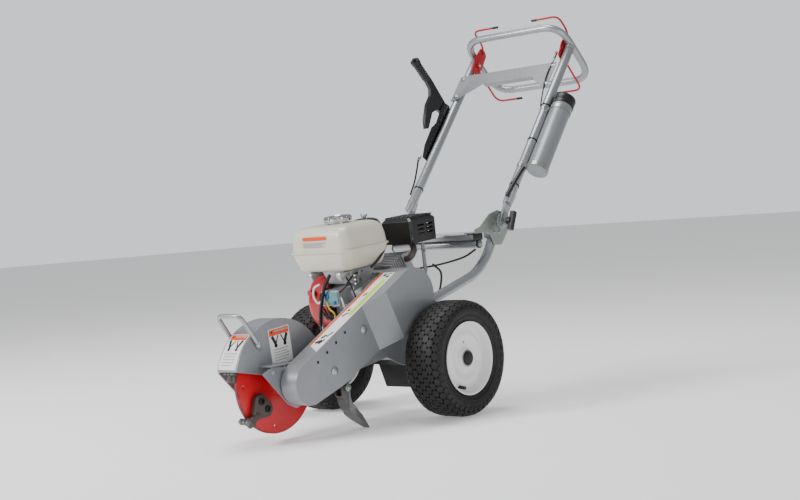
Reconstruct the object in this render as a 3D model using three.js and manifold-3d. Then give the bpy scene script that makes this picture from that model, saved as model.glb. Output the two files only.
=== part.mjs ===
// Walk-behind stump grinder: a belt-driven cutting disc at the front of a two-wheeled frame, with a
// horizontal-shaft petrol engine on the deck and a folding loop handle behind.
// Millimetres. +Z up, +Y to the rear (operator), +X to the machine's left.
// The shapes are laid out from a point on the ground under the axle; the exported group is shifted
// so that its origin is the bottom centre of the whole machine.
import * as THREE from "three";
import { mergeVertices } from "three/addons/utils/BufferGeometryUtils.js";
import Module from "manifold-3d";

// ---------------------------------------------------------------- driving dimensions
const GAP = 0.3; // clearance between touching pieces
const SHEET = 3; // sheet-metal thickness

const WHEEL_R = 165; // 13-inch pneumatic tyre
const TRACK_HALF = 253.3;
const TYRE_HALF_W = 62;
const RIM_R = 99;
const AXLE_R = 10;

const SHAFT = { y: -479, z: 160 }; // cutter shaft
const DISC_R = 141;
const TOOTH_R = 160;
const SHAFT_R = 15;
const DISC_X = 8;
const HOOD_R = 170;
const HOOD_X = [-34, 42];

const CRANK = { y: -78, z: 345 }; // engine crankshaft
const ENGINE_PITCH = 5; // degrees, nose down
const COWL_R = 99.5;
const DRIVE_PULLEY_R = 52;
const DRIVEN_PULLEY_R = 38;
const BELT_X = [112, 136];
const BELT_T = 8;

const PLATE_X = 84; // inner face of the frame's side plates
const PLATE_T = 5;
const GUARD_X = [96, 150, 185]; // belt guard: open back, arm face, upper box face
const GUARD_FRONT = { y: SHAFT.y, z: 157, r: 58 };
const GUARD_REAR = { y: -75, z: 350, r: 82 };

const FRAME_TUBE_R = 15;
const FRAME_TUBE_X = 165;
const PIVOT = { y: 358, z: 541 }; // handle pivot
const HANDLE_LEAN = 39.4; // degrees back from upright
const HANDLE_X = 198.8;
const HANDLE_R = 15;
const HANDLE_OFFSET = -22; // the tubes run this far in front of the pivot
const HANDLE_TOP = 695;
const RING = { z: 711, front: 89, rear: 151, corner: 75, tilt: 4.8, r: 12 };

const CANISTER = { x: 246.8, y: -3, r: 33.5, low: 186, high: 486, cap: 38 };
const BRAKE = { x: -226.3, y: -45, z: 473 }; // park brake lever's pivot, in the handle's frame
const FOOT = { x: 115, y: -328, z: 124 }; // prop foot's pivot

// ---------------------------------------------------------------- materials
const paint = (color, metalness, roughness) =>
  new THREE.MeshStandardMaterial({ color, metalness, roughness, flatShading: true });
const FINISH = {
  silver: () => paint(0x9a9da1, 0.5, 0.45),
  tube: () => paint(0xb9bcc1, 0.6, 0.4),
  red: () => paint(0xc3141c, 0.1, 0.4),
  black: () => paint(0x17171a, 0.1, 0.6),
  rubber: () => paint(0x2b2523, 0, 0.9),
  white: () => paint(0xeeeeee, 0, 0.4),
  cream: () => paint(0xe4e0d2, 0, 0.45),
  zinc: () => paint(0xb8beb8, 0.85, 0.3),
  chrome: () => paint(0xdcdcdc, 1, 0.12),
  cast: () => paint(0x5b524b, 0.7, 0.6),
  alloy: () => paint(0x9c9d9e, 0.8, 0.5),
};

// ---------------------------------------------------------------- solids
const wasm = await Module();
wasm.setup();

const bare = (geometry) => {
  const g = geometry.index ? geometry.toNonIndexed() : geometry.clone();
  g.deleteAttribute("normal");
  g.deleteAttribute("uv");
  return mergeVertices(g, 1e-3);
};

// The closed solid of a geometry, with its faces turned outwards.
function solid(geometry) {
  const g = bare(geometry);
  const corners = [];
  for (let i = 0; i < g.index.count; i += 3) {
    const [a, b, c] = g.index.array.subarray(i, i + 3);
    if (a !== b && b !== c && c !== a) corners.push([a, b, c]);
  }
  const build = (triangles) =>
    new wasm.Manifold(
      new wasm.Mesh({
        numProp: 3,
        vertProperties: new Float32Array(g.attributes.position.array),
        triVerts: new Uint32Array(triangles.flat()),
      }),
    );
  const made = build(corners);
  return made.volume() < 0 ? build(corners.map(([a, b, c]) => [a, c, b])) : made;
}

function geometryOf(made) {
  const mesh = made.getMesh();
  const points = new Float32Array(mesh.numVert * 3);
  for (let i = 0; i < mesh.numVert; i++) {
    points.set(mesh.vertProperties.subarray(i * mesh.numProp, i * mesh.numProp + 3), i * 3);
  }
  const g = new THREE.BufferGeometry();
  g.setAttribute("position", new THREE.BufferAttribute(points, 3));
  g.setIndex(new THREE.BufferAttribute(new Uint32Array(mesh.triVerts), 1));
  return g;
}

const join = (first, ...others) =>
  geometryOf(others.reduce((sum, g) => sum.add(solid(g)), solid(first)));
const cut = (body, ...tools) =>
  geometryOf(tools.reduce((left, g) => left.subtract(solid(g)), solid(body)));
const common = (a, b) => geometryOf(solid(a).intersect(solid(b)));

// ---------------------------------------------------------------- shape helpers
const rad = THREE.MathUtils.degToRad;

// A box given by its low and high corners.
function box(x0, x1, y0, y1, z0, z1) {
  const g = new THREE.BoxGeometry(x1 - x0, y1 - y0, z1 - z0);
  return g.translate((x0 + x1) / 2, (y0 + y1) / 2, (z0 + z1) / 2);
}

// A cylinder along X from x0 to x1.
function rodX(r, x0, x1, y, z, sides = 24) {
  const g = new THREE.CylinderGeometry(r, r, x1 - x0, sides);
  return g.rotateZ(-Math.PI / 2).translate((x0 + x1) / 2, y, z);
}

// A cylinder along Y or Z.
const rodY = (r, x, y0, y1, z, sides = 20) =>
  new THREE.CylinderGeometry(r, r, y1 - y0, sides).translate(x, (y0 + y1) / 2, z);
const rodZ = (r, x, y, z0, z1, sides = 20, top = r) =>
  new THREE.CylinderGeometry(top, r, z1 - z0, sides).rotateX(Math.PI / 2).translate(x, y, (z0 + z1) / 2);

// A cylinder between two points.
function rod(r, a, b, sides = 12) {
  const from = new THREE.Vector3(...a);
  const along = new THREE.Vector3(...b).sub(from);
  const g = new THREE.CylinderGeometry(r, r, along.length(), sides);
  g.applyQuaternion(
    new THREE.Quaternion().setFromUnitVectors(new THREE.Vector3(0, 1, 0), along.clone().normalize()),
  );
  return g.translate(...from.addScaledVector(along, 0.5));
}

const arc = (cy, cz, r, from, to, steps = 8) =>
  Array.from({ length: steps + 1 }, (_, i) => {
    const a = rad(from + ((to - from) * i) / steps);
    return [cy + r * Math.cos(a), cz + r * Math.sin(a)];
  });

const round = (cy, cz, r) => arc(cy, cz, r, 0, 340, 17);

// The outline of a flat shape, anticlockwise, with its holes the other way round.
function flat(outline, holes = []) {
  const vectors = (points) => points.map(([a, b]) => new THREE.Vector2(a, b));
  const rim = vectors(outline);
  const shape = new THREE.Shape(THREE.ShapeUtils.isClockWise(rim) ? rim.reverse() : rim);
  for (const h of holes) shape.holes.push(new THREE.Path(vectors(h).reverse()));
  return shape;
}

// A side-view outline of [y, z] points, extruded along X.
function slab(outline, x0, x1, holes = []) {
  const shape = flat(outline, holes);
  const g = new THREE.ExtrudeGeometry(shape, { depth: x1 - x0, bevelEnabled: false });
  const axes = new THREE.Matrix4().makeBasis(
    new THREE.Vector3(0, 1, 0),
    new THREE.Vector3(0, 0, 1),
    new THREE.Vector3(1, 0, 0),
  );
  return g.applyMatrix4(axes).translate(x0, 0, 0);
}

// A plan-view outline of [x, y] points, extruded along Z.
function plan(outline, z0, z1) {
  const g = new THREE.ExtrudeGeometry(flat(outline), { depth: z1 - z0, bevelEnabled: false });
  return g.translate(0, 0, z0);
}

// A closed profile of [radius, x] points turned about the X axis through (y, z).
function turned(profile, y, z, sides = 32) {
  const g = new THREE.LatheGeometry(
    profile.map(([r, x]) => new THREE.Vector2(r, x)),
    sides,
  );
  return g.rotateZ(-Math.PI / 2).translate(0, y, z);
}

// A profile of [radius, z] points turned about an upright axis.
const turnedUp = (profile, x, y, sides = 28) =>
  new THREE.LatheGeometry(profile.map(([r, z]) => new THREE.Vector2(r, z)), sides)
    .rotateX(Math.PI / 2)
    .translate(x, y, 0);

// A round bar along straight runs with rounded corners; points are [x, y, z].
function bent(points, r, bend, sides = 10, steps = 24) {
  const at = points.map((p) => new THREE.Vector3(...p));
  const path = new THREE.CurvePath();
  let last = at[0];
  for (let i = 1; i + 1 < at.length; i++) {
    const towards = (other) => at[other].clone().sub(at[i]).normalize().multiplyScalar(bend);
    const enter = at[i].clone().add(towards(i - 1));
    const leave = at[i].clone().add(towards(i + 1));
    path.add(new THREE.LineCurve3(last, enter));
    path.add(new THREE.QuadraticBezierCurve3(enter, at[i], leave));
    last = leave;
  }
  path.add(new THREE.LineCurve3(last, at[at.length - 1]));
  return along(path, r, sides, steps);
}

// A round bar swept along a curve.
function along(path, r, sides, steps) {
  const circle = new THREE.Shape(
    Array.from({ length: sides }, (_, i) => {
      const a = (2 * Math.PI * i) / sides;
      return new THREE.Vector2(r * Math.cos(a), r * Math.sin(a));
    }),
  );
  return new THREE.ExtrudeGeometry(circle, { steps, bevelEnabled: false, extrudePath: path });
}

// A smooth cable through the points.
function cable(points, r, steps = 12) {
  const curve = new THREE.CatmullRomCurve3(points.map((p) => new THREE.Vector3(...p)));
  return along(curve, r, 8, steps);
}

// A stack of rounded rectangles [z, halfX, halfY, corner radius], closed at both ends.
function stacked(sections, cx, cy, perCorner = 4) {
  const rings = sections.map(([z, hx, hy, r]) => {
    const ring = [];
    for (let q = 0; q < 4; q++) {
      const sx = q === 0 || q === 3 ? 1 : -1;
      const sy = q < 2 ? 1 : -1;
      for (let i = 0; i <= perCorner; i++) {
        const a = (Math.PI / 2) * (q + i / perCorner);
        ring.push([cx + sx * (hx - r) + r * Math.cos(a), cy + sy * (hy - r) + r * Math.sin(a), z]);
      }
    }
    return ring;
  });
  const n = rings[0].length;
  const points = rings.flat();
  const faces = [];
  for (let k = 0; k + 1 < rings.length; k++) {
    for (let i = 0; i < n; i++) {
      const a = k * n + i;
      const b = k * n + ((i + 1) % n);
      faces.push(a, b, b + n, a, b + n, a + n);
    }
  }
  const top = (rings.length - 1) * n;
  for (let i = 1; i + 1 < n; i++) {
    faces.push(0, i + 1, i, top, top + i, top + i + 1);
  }
  const g = new THREE.BufferGeometry();
  g.setAttribute("position", new THREE.Float32BufferAttribute(points.flat(), 3));
  g.setIndex(faces);
  return g;
}

// ---------------------------------------------------------------- the machine's groups
const machine = new THREE.Group(); // everything in the ground frame
const engine = new THREE.Group(); // turned about the crankshaft by the nose-down pitch
engine.position.set(0, CRANK.y, CRANK.z);
engine.rotation.x = rad(ENGINE_PITCH);
const handle = new THREE.Group(); // z up the tubes, y behind them, from the pivot
handle.position.set(0, PIVOT.y, PIVOT.z);
handle.rotation.x = -rad(HANDLE_LEAN);
const part = new THREE.Group();
part.add(machine);
machine.add(engine, handle);

function piece(name, geometry, finish, group = machine) {
  const g = geometryOf(solid(geometry));
  g.computeVertexNormals();
  const mesh = new THREE.Mesh(g, FINISH[finish]());
  mesh.name = name;
  group.add(mesh);
}

// The same shape on the machine's right side.
const mirrored = (geometry) => geometry.clone().scale(-1, 1, 1);
const bothSides = (name, geometry, finish, group = machine) => {
  piece(name + "_left", geometry, finish, group);
  piece(name + "_right", mirrored(geometry), finish, group);
};

// ---------------------------------------------------------------- wheels
function wheels() {
  const half = TYRE_HALF_W;
  const outside = [
    [RIM_R + 1, -45],
    [128, 1 - half],
    [150, -half],
    [WHEEL_R, -36],
  ];
  const inside = [
    [RIM_R + 1, -37],
    [128, 12 - half],
    [154, -34],
  ];
  const flip = (points) => points.map(([r, x]) => [r, -x]);
  const tyre = [...outside, ...flip(outside).reverse(), ...flip(inside), ...inside.slice().reverse()];
  tyre.push(tyre[0]);
  bothSides("tyre", turned(tyre, 0, WHEEL_R, 24).translate(TRACK_HALF, 0, 0), "rubber");

  const barrel = [
    [RIM_R - 5, -52],
    [RIM_R - 0.5, -52],
    [RIM_R - 0.5, 49.5],
    [RIM_R + 5, 49.5],
    [RIM_R + 5, 53],
    [RIM_R - 5, 53],
    [RIM_R - 5, -52],
  ];
  const dish = [
    [20, 26],
    [44, 26],
    [70, 34],
    [RIM_R - 4, 20],
    [RIM_R - 4, 24],
    [70, 38.5],
    [44, 30.5],
    [20, 30.5],
    [20, 26],
  ];
  const hub = [
    [AXLE_R + GAP, -30],
    [24, -30],
    [24, 40],
    [AXLE_R + GAP, 40],
    [AXLE_R + GAP, -30],
  ];
  const rim = join(...[barrel, dish, hub].map((profile) => turned(profile, 0, WHEEL_R, 24)));
  bothSides("rim", rim.translate(TRACK_HALF, 0, 0), "white");

  const axleEnd = TRACK_HALF + 43;
  const cap = rodX(17, axleEnd - 1, axleEnd + 8, 0, WHEEL_R, 18);
  piece("axle", join(rodX(AXLE_R, -axleEnd, axleEnd, 0, WHEEL_R, 16), cap, mirrored(cap)), "zinc");
}

// ---------------------------------------------------------------- frame
const deckHeight = (y) => CRANK.z - 112 + (y - CRANK.y) * Math.tan(rad(ENGINE_PITCH));

function sidePlates() {
  const tail = { y: 34, z: 302.7 };
  const outline = [
    [-593, 194],
    [-560, 208],
    [-440, deckHeight(-440)],
    [-10, deckHeight(-10)],
    [12, tail.z - 18],
    [14, tail.z],
    [20, tail.z + 20],
    [56, tail.z + 20],
    [54, 240],
    [34, 145],
    [-34, 145],
    [-110, 178],
    [-290, 150],
    [-304, 108],
    [-348, 108],
    [-440, 100],
    [-480, 90],
    [-509, 104],
  ];
  const holes = [
    round(0, WHEEL_R, AXLE_R + 2 * GAP),
    round(SHAFT.y, SHAFT.z, SHAFT_R + 6),
    round(tail.y, tail.z, FRAME_TUBE_R + 2 * GAP),
  ];
  const bearing = turned(
    [
      [SHAFT_R + GAP, 62],
      [30, 62],
      [42, 74],
      [42, PLATE_X + 1],
      [SHAFT_R + GAP, PLATE_X + 1],
      [SHAFT_R + GAP, 62],
    ],
    SHAFT.y,
    SHAFT.z,
    20,
  );
  const { x, y, z } = FOOT;
  const bolt = rodX(6, PLATE_X + 1, x + 21, y, z, 12);
  const nut = rodX(7.8, x + 14 + GAP, x + 21, y, z, 6);
  const strut = [[30, 319], [46, 319], [98, 410], [92, 494], [80, 494], [84, 416]];
  const plate = join(slab(outline, PLATE_X, PLATE_X + PLATE_T, holes), bearing);
  piece("side_plate_left", join(plate, slab(strut, PLATE_X + 3, PLATE_X + 7), bolt, nut), "silver");
  piece("side_plate_right", mirrored(plate), "silver");
  piece("rear_cross_tube", rodX(FRAME_TUBE_R, -183, 183, tail.y, tail.z, 20), "tube");
  piece("front_tie_bar", rodX(9, GAP - PLATE_X, PLATE_X - GAP, -290, 205, 14), "tube");
  const wide = box(-PLATE_X - 8, PLATE_X + 7.5, -150, 54, -111.4, -106.4);
  const between = box(2 * GAP - PLATE_X, PLATE_X - 2 * GAP, 53, 112, -111.4, -106.4);
  piece("engine_deck", join(wide, between), "silver", engine);
}

function handleFrame() {
  const x = FRAME_TUBE_X;
  const run = [
    [x, 13, 328.4],
    [x, 232, 388],
    [x, 300, 440],
    [x, 331, 497],
  ];
  const block = box(148, 180, 308, 352, 492, 528);
  bothSides("frame_tube", join(bent(run, FRAME_TUBE_R, 36, 10, 12), block), "tube");
  piece("cross_bars", join(box(-170, 170, 232, 272, 491, 510.6), rodX(13, -170, 170, 256, 479, 14)), "tube");
  const bracket = [
    [222, 511],
    [222, 523],
    [250, 530],
    [298, 566],
    [340, 577],
    [382, 566],
    [392, 541],
    [388, 510],
    [352, 470],
    [314, 470],
    [300, 500],
    [284, 511],
  ];
  const face = FRAME_TUBE_X + 18.3;
  const plate = slab(bracket, face - SHEET, face);
  const flange = box(140, FRAME_TUBE_X + 16, 222, 286, 511, 514);
  const stud = join(rodX(6, 170, 208, PIVOT.y, PIVOT.z, 16), rodX(11, 170, face - 1, PIVOT.y, PIVOT.z, 6));
  bothSides("pivot_bracket", join(plate, flange, stud), "zinc");
}

// ---------------------------------------------------------------- cutter, hood and prop foot
function cutter() {
  const bore = SHAFT_R + GAP;
  piece("cutter_shaft", rodX(SHAFT_R, -96, 142, SHAFT.y, SHAFT.z), "alloy");
  const disc = [
    [bore, DISC_X - 22],
    [34, DISC_X - 22],
    [34, DISC_X - 5],
    [DISC_R, DISC_X - 5],
    [DISC_R, DISC_X + 5],
    [34, DISC_X + 5],
    [34, DISC_X + 22],
    [bore, DISC_X + 22],
    [bore, DISC_X - 22],
  ];
  piece("cutter_disc", turned(disc, SHAFT.y, SHAFT.z, 32), "red");
  const pulley = [
    [bore, BELT_X[0] - 4],
    [DRIVEN_PULLEY_R + 6, BELT_X[0] - 4],
    [DRIVEN_PULLEY_R + 6, BELT_X[0] - 1],
    [DRIVEN_PULLEY_R, BELT_X[0] - 1],
    [DRIVEN_PULLEY_R, BELT_X[1] + 1],
    [DRIVEN_PULLEY_R + 6, BELT_X[1] + 1],
    [DRIVEN_PULLEY_R + 6, BELT_X[1] + 4],
    [bore, BELT_X[1] + 4],
    [bore, BELT_X[0] - 4],
  ];
  piece("driven_pulley", turned(pulley, SHAFT.y, SHAFT.z, 20), "alloy");

  // Pockets sit in pairs, one on each face; the right-hand one runs half a pitch ahead.
  const places = [
    [222, 1],
    [42, 1],
    [170, -1],
    [350, -1],
  ];
  places.forEach(([angle, side], i) => {
    const holder = new THREE.Group();
    holder.position.set(DISC_X, SHAFT.y, SHAFT.z);
    holder.rotation.x = rad(angle);
    machine.add(holder);
    // The pocket is drawn along +Y from the shaft, bolted flat on the disc.
    const ends = [...arc(82, 19, 15, 20, 200, 6), ...arc(82, -16, 17, 180, 290, 5)];
    const outline = [...ends, [118, -20], [128, -12], [128, 8]];
    const bolted = slab(outline, 5 + GAP, 23);
    const neck = box(5 + GAP, 26, 108, 141.5, -12, 8);
    const head = box(-8, 26, DISC_R + GAP, 150, -14, 10);
    const tip = box(-10, 28, DISC_R + 1, TOOTH_R, -22.5, -12);
    const pocket = join(bolted, neck, head, tip);
    piece("tooth_pocket_" + (i + 1), side > 0 ? pocket : mirrored(pocket), "cast", holder);
  });
}

function hood() {
  const [x0, x1] = HOOD_X;
  const band = arc(SHAFT.y, SHAFT.z, HOOD_R, 0, 164.5, 22);
  const outer = slab([...band, [-551, 187], [-500, 178], [-440, 178]], x0, x1);
  const inside = arc(SHAFT.y, SHAFT.z, HOOD_R - SHEET, 0, 164, 22);
  const hollow = slab([...inside, [-641, 100], [-312, 100]], x0 + SHEET, x1 - SHEET);
  const ear = (a, b) => box(a, b, -566, -468, 209.2, 212.2);
  const shell = join(cut(outer, hollow), ear(x1 - 1, PLATE_X + 8), ear(-PLATE_X - 8, x0 + 1));
  piece("cutter_hood", shell, "silver");

  const leg = x1 + 7;
  const far = x0 - 7;
  const grip = [
    [leg, -566, 270],
    [leg, -622, 350],
    [far, -622, 350],
    [far, -566, 270],
  ];
  piece("hood_handle", bent(grip, 6, 26, 8, 20), "tube");
}

function foot() {
  const { x, y, z } = FOOT;
  const outline = [
    [y - 18, z + 14],
    [y + 12, z + 14],
    [y + 12, z - 28],
    [y + 16, z - 46],
    [y + 34, z - 68],
    [y + 90, z - 122],
    [y + 94, z - 124],
    [y + 82, z - 124],
    [y + 26, z - 82],
    [y + 2, z - 62],
    [y - 8, z - 44],
    [y - 10, z - 28],
    [y - 18, z - 20],
  ];
  const blade = [
    [x - 14, y - 20],
    [x + 14, y - 20],
    [x + 14, y + 8],
    [x + 23, y + 22],
    [x + 23, y + 46],
    [x + 4, y + 96],
    [x - 4, y + 96],
    [x - 23, y + 46],
    [x - 23, y + 22],
    [x - 14, y + 8],
  ];
  const shaped = common(slab(outline, x - 24, x + 24), plan(blade, -5, z + 20));
  const slot = box(x - 9, x + 9, y - 25, y + 8, z - 22, z + 20);
  piece("prop_foot", cut(shaped, rodX(6 + GAP, x - 30, x + 30, y, z, 18), slot), "cast");
}

function debrisFlap() {
  const top = 150;
  const flap = [
    [-104, top],
    [104, top],
    [72, 66],
    [-72, 66],
  ];
  const shape = slab(flap, -3, 3).applyMatrix4(new THREE.Matrix4().makeRotationZ(-Math.PI / 2));
  piece("debris_flap", shape.translate(0, 62, 0), "rubber");
  piece("flap_bar", box(-150, 150, 36.5, 58, top - 14, top + 2), "black");
}

// ---------------------------------------------------------------- belt drive
// The guard's side outline, drawn in by an inset: a small round end, a large one, and the edges.
function guardOutline(inset) {
  const { y, z, r } = GUARD_FRONT;
  const rear = GUARD_REAR;
  const slope = 118.8; // direction of the normal of the straight top edge
  return [
    ...arc(y, z, r - inset, slope, 280, 10),
    [-357, 136 + inset],
    [-204 - inset / 2, 212 + inset],
    ...arc(rear.y, rear.z, rear.r - inset, -65, slope, 12),
  ];
}

// What the slanted step takes away from the box's height over the arm; drop moves it inwards.
function armRelief(drop) {
  const [, arm, top] = GUARD_X;
  const run = 72;
  const shape = new THREE.Shape(
    [
      [-700, arm - drop],
      [-drop / 4, arm - drop],
      [run - drop / 4, top - drop],
      [run + 60, top - drop + 29],
      [run + 60, 300],
      [-700, 300],
    ].map(([t, x]) => new THREE.Vector2(t, x)),
  );
  const g = new THREE.ExtrudeGeometry(shape, { depth: 700, bevelEnabled: false });
  // Shape x runs along the arm, shape y is the machine's X, and the extrusion runs down the step.
  const lean = rad(25.5);
  const axes = new THREE.Matrix4().makeBasis(
    new THREE.Vector3(0, Math.cos(lean), Math.sin(lean)),
    new THREE.Vector3(1, 0, 0),
    new THREE.Vector3(0, Math.sin(lean), -Math.cos(lean)),
  );
  const start = { y: -264 - 300 * Math.sin(lean), z: 338 + 300 * Math.cos(lean) };
  return g.applyMatrix4(axes).translate(0, start.y, start.z);
}

function beltDrive() {
  const [back, , top] = GUARD_X;
  const outer = cut(slab(guardOutline(0), back, top), armRelief(0));
  const inner = cut(slab(guardOutline(SHEET), back - 5, top - SHEET), armRelief(SHEET));
  const holes = [
    [-339, 276],
    [-376, 253],
    [-413, 231],
    [-450, 209],
  ].map(([y, z]) => rodX(4.5, 140, 160, y, z, 10));
  piece(
    "guard_back_plate",
    slab(guardOutline(0), back - SHEET - GAP, back - GAP, [
      round(SHAFT.y, SHAFT.z, 24),
      round(CRANK.y, CRANK.z, 44),
    ]),
    "silver",
  );
  const dome = [[0, 148], [11, 148], [11, 151], [7, 155], [0, 156]];
  const heads = [
    [-264, 276],
    [-390, 178],
  ].map(([y, z]) => turned(dome, y, z, 12));
  piece("belt_guard", join(cut(outer, inner, ...holes), ...heads), "silver");

  // The belt: both round ends and the two tangent runs between them, as one loop of even thickness.
  const span = Math.hypot(CRANK.y - SHAFT.y, CRANK.z - SHAFT.z);
  const line = Math.atan2(CRANK.z - SHAFT.z, CRANK.y - SHAFT.y);
  const spread = Math.asin((DRIVE_PULLEY_R - DRIVEN_PULLEY_R) / span);
  const turn = THREE.MathUtils.radToDeg;
  const loop = (extra) => [
    ...arc(SHAFT.y, SHAFT.z, DRIVEN_PULLEY_R + extra, turn(line + spread) + 90, turn(line - spread) + 270, 12),
    ...arc(CRANK.y, CRANK.z, DRIVE_PULLEY_R + extra, turn(line - spread) - 90, turn(line + spread) + 90, 12),
  ];
  const ring = slab(loop(BELT_T), ...BELT_X);
  piece("drive_belt", cut(ring, slab(loop(1), BELT_X[0] - 5, BELT_X[1] + 5)), "black");

  const drum = [
    [0, 88],
    [9.5, 88],
    [9.5, 106],
    [DRIVE_PULLEY_R + 6, 106],
    [DRIVE_PULLEY_R + 6, 111],
    [DRIVE_PULLEY_R, 111],
    [DRIVE_PULLEY_R, 137],
    [DRIVE_PULLEY_R + 6, 137],
    [DRIVE_PULLEY_R + 6, 142],
    [30, 142],
    [30, 160],
    [0, 160],
  ];
  piece("clutch_pulley", turned(drum, CRANK.y, CRANK.z, 20), "alloy");
}

// ---------------------------------------------------------------- engine, in its pitched frame
function engineBlock() {
  const base = -106;
  const caseSide = [
    [-92, base],
    [92, base],
    [92, base + 9],
    [74, base + 12],
    [74, -10],
    [58, 40],
    [20, 64],
    [-46, 64],
    [-80, 34],
    [-86, -20],
    [-80, base + 12],
    [-92, base + 9],
  ];
  const saddle = slab([[-76, 58], [-20, 58], [10, 99], [-100, 99]], -68, 40);
  const nose = rodX(34, 77, 84, 0, 0);
  const controls = box(-60, 8, -124, -60, 2, 46);
  piece("crankcase", join(slab(caseSide, -66, 78), nose, saddle, controls), "alloy", engine);

  // The barrel leans up and back; its fins are thin plates across it.
  const barrel = new THREE.Group();
  barrel.rotation.x = rad(25);
  engine.add(barrel);
  const fins = [];
  for (let i = 0; i < 7; i++) fins.push(box(-50, 52, 96 + i * 9, 99 + i * 9, -50, 50));
  const head = join(box(-44, 46, 159, 174, -46, 46), box(-34, 36, 173, 196, -34, 34));
  piece("cylinder", join(box(-40, 42, 76, 160, -40, 40), ...fins, head), "alloy", barrel);

  const cowl = [
    [0, -158],
    [60, -158],
    [93, -148],
    [COWL_R, -130],
    [COWL_R, -70],
    [COWL_R - 3, -70],
    [COWL_R - 3, -129],
    [91, -145],
    [60, -155],
    [0, -155],
  ];
  const recoil = [[0, -157], [76, -157], [70, -170], [40, -174], [0, -174]];
  piece("fan_cover", join(turned(cowl, 0, 0, 24), turned(recoil, 0, 0, 24)), "red", engine);
  const flywheel = [
    [0, -146],
    [30, -146],
    [34, -126],
    [88, -126],
    [88, -84],
    [20, -84],
    [12, -67],
    [0, -67],
  ];
  piece("flywheel", turned(flywheel, CRANK.y, CRANK.z, 20), "alloy");
  const grip = join(box(-171, -157, -44, -2, 92, 104), rodZ(5, -164, -23, 84, 96, 10));
  piece("starter_grip", grip.translate(0, 0, -12), "black", engine);

  const knob = rodY(10, -122, -110, -96.4, 38, 16);
  piece("engine_switch", knob, "red", engine);
}

function fuelTank() {
  const [x, y] = [-35, -48];
  const body = stacked(
    [
      [101, 84, 70, 26],
      [110, 98, 84, 30],
      [156, 112, 97, 34],
      [158, 118, 102.5, 32],
      [162, 118, 102.5, 32],
      [164, 113, 98, 34],
      [200, 108, 94, 36],
      [221, 96, 82, 38],
      [231, 74, 60, 36],
    ],
    x,
    y,
  );
  piece("fuel_tank", body, "cream", engine);
  const cap = [
    [0, 231 + GAP],
    [26, 231 + GAP],
    [26, 236],
    [40, 236],
    [40, 251],
    [36, 254],
    [0, 254],
  ];
  piece("fuel_cap", turnedUp(cap, x, y + 7, 20), "chrome", engine);
}

function intakeAndExhaust() {
  const cleaner = [
    [0, 150],
    [46, 150],
    [52, 160],
    [52, 200],
    [44, 218],
    [20, 226],
    [0, 227],
  ];
  const nut = join(rodZ(7, -78, 118, 226, 236, 12), box(-94, -62, 116, 120, 232, 241));
  piece("air_cleaner", join(turnedUp(cleaner, -78, 118, 20), nut), "black", engine);
  piece("carburettor", box(-100, -58, 96, 140, 112, 149.6), "alloy", engine);

  const outer = stacked(
    [
      [140, 58, 58, 10],
      [206, 60, 60, 12],
      [216, 52, 52, 14],
      [219, 42, 42, 14],
    ],
    41,
    180,
  );
  const inner = box(-15, 97, 124, 236, 130, 204);
  const slots = [];
  for (let row = 0; row < 3; row++) {
    for (let bank = 0; bank < 2; bank++) {
      const y = 150 + bank * 40;
      slots.push(box(90, 110, y, y + 30, 164 + row * 12, 169 + row * 12));
      slots.push(box(0 + bank * 40, 30 + bank * 40, 230, 250, 164 + row * 12, 169 + row * 12));
    }
  }
  piece("muffler_guard", cut(outer, inner, ...slots), "black", engine);
  const pipe = [
    [66, 118, 96],
    [88, 118, 100],
    [86, 142, 124],
    [58, 150, 152],
  ];
  const can = rodY(30, 42, 130, 232, 172, 20);
  piece("muffler", join(can, bent(pipe, 10, 14, 8, 10)), "cast", engine);
}

function heldCables() {
  piece("throttle_cable", cable([[150, 262, 462], [110, 250, 440], [60, 200, 424], [40, 120, 418]], 3.2), "black");
  piece("brake_cable_lower", cable([[104, 108, 430], [116, 130, 400], [112, 118, 340], [100, 96, 290]], 3.2), "black");
}

// ---------------------------------------------------------------- handle, in its leaning frame
function handleTubes() {
  const bottom = 52;
  const tube = rodZ(HANDLE_R, HANDLE_X, HANDLE_OFFSET, bottom - 2, HANDLE_TOP, 16);
  // The flattened foot of each tube, with the toothed disc that seats on the bracket.
  const inner = FRAME_TUBE_X + 18.3 + GAP;
  const disc = slab(arc(0, 0, 27, 0, 345, 23), inner, inner + 5);
  const tongue = slab(
    [...arc(0, 0, 19, -160, 20, 8), [2, 30], [HANDLE_OFFSET + 12, bottom], [HANDLE_OFFSET - 12, bottom]],
    inner + 4,
    inner + 12,
  );
  const bore = rodX(6 + GAP, 170, 230, 0, 0, 18);
  bothSides("handle_tube", cut(join(tube, disc, tongue), bore), "tube", handle);
  const hub = rodX(13, 208 + GAP, 222, PIVOT.y, PIVOT.z, 18);
  const bar = box(216, 231, -8, 8, -30, 30);
  bar.rotateX(rad(-24)).translate(0, PIVOT.y, PIVOT.z);
  bothSides("clamp_knob", join(hub, bar), "black");
}

function ringHandle() {
  const ring = new THREE.Group();
  ring.position.set(0, -19, RING.z);
  ring.rotation.x = -rad(RING.tilt);
  handle.add(ring);
  const w = HANDLE_X;
  const half = (reach, lap) =>
    bent([[-w, -lap, 0], [-w, reach, 0], [w, reach, 0], [w, -lap, 0]], RING.r, RING.corner, 8, 20);
  piece("ring_handle", join(half(-RING.front, -4), half(RING.rear, 4)), "tube", ring);
}

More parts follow.
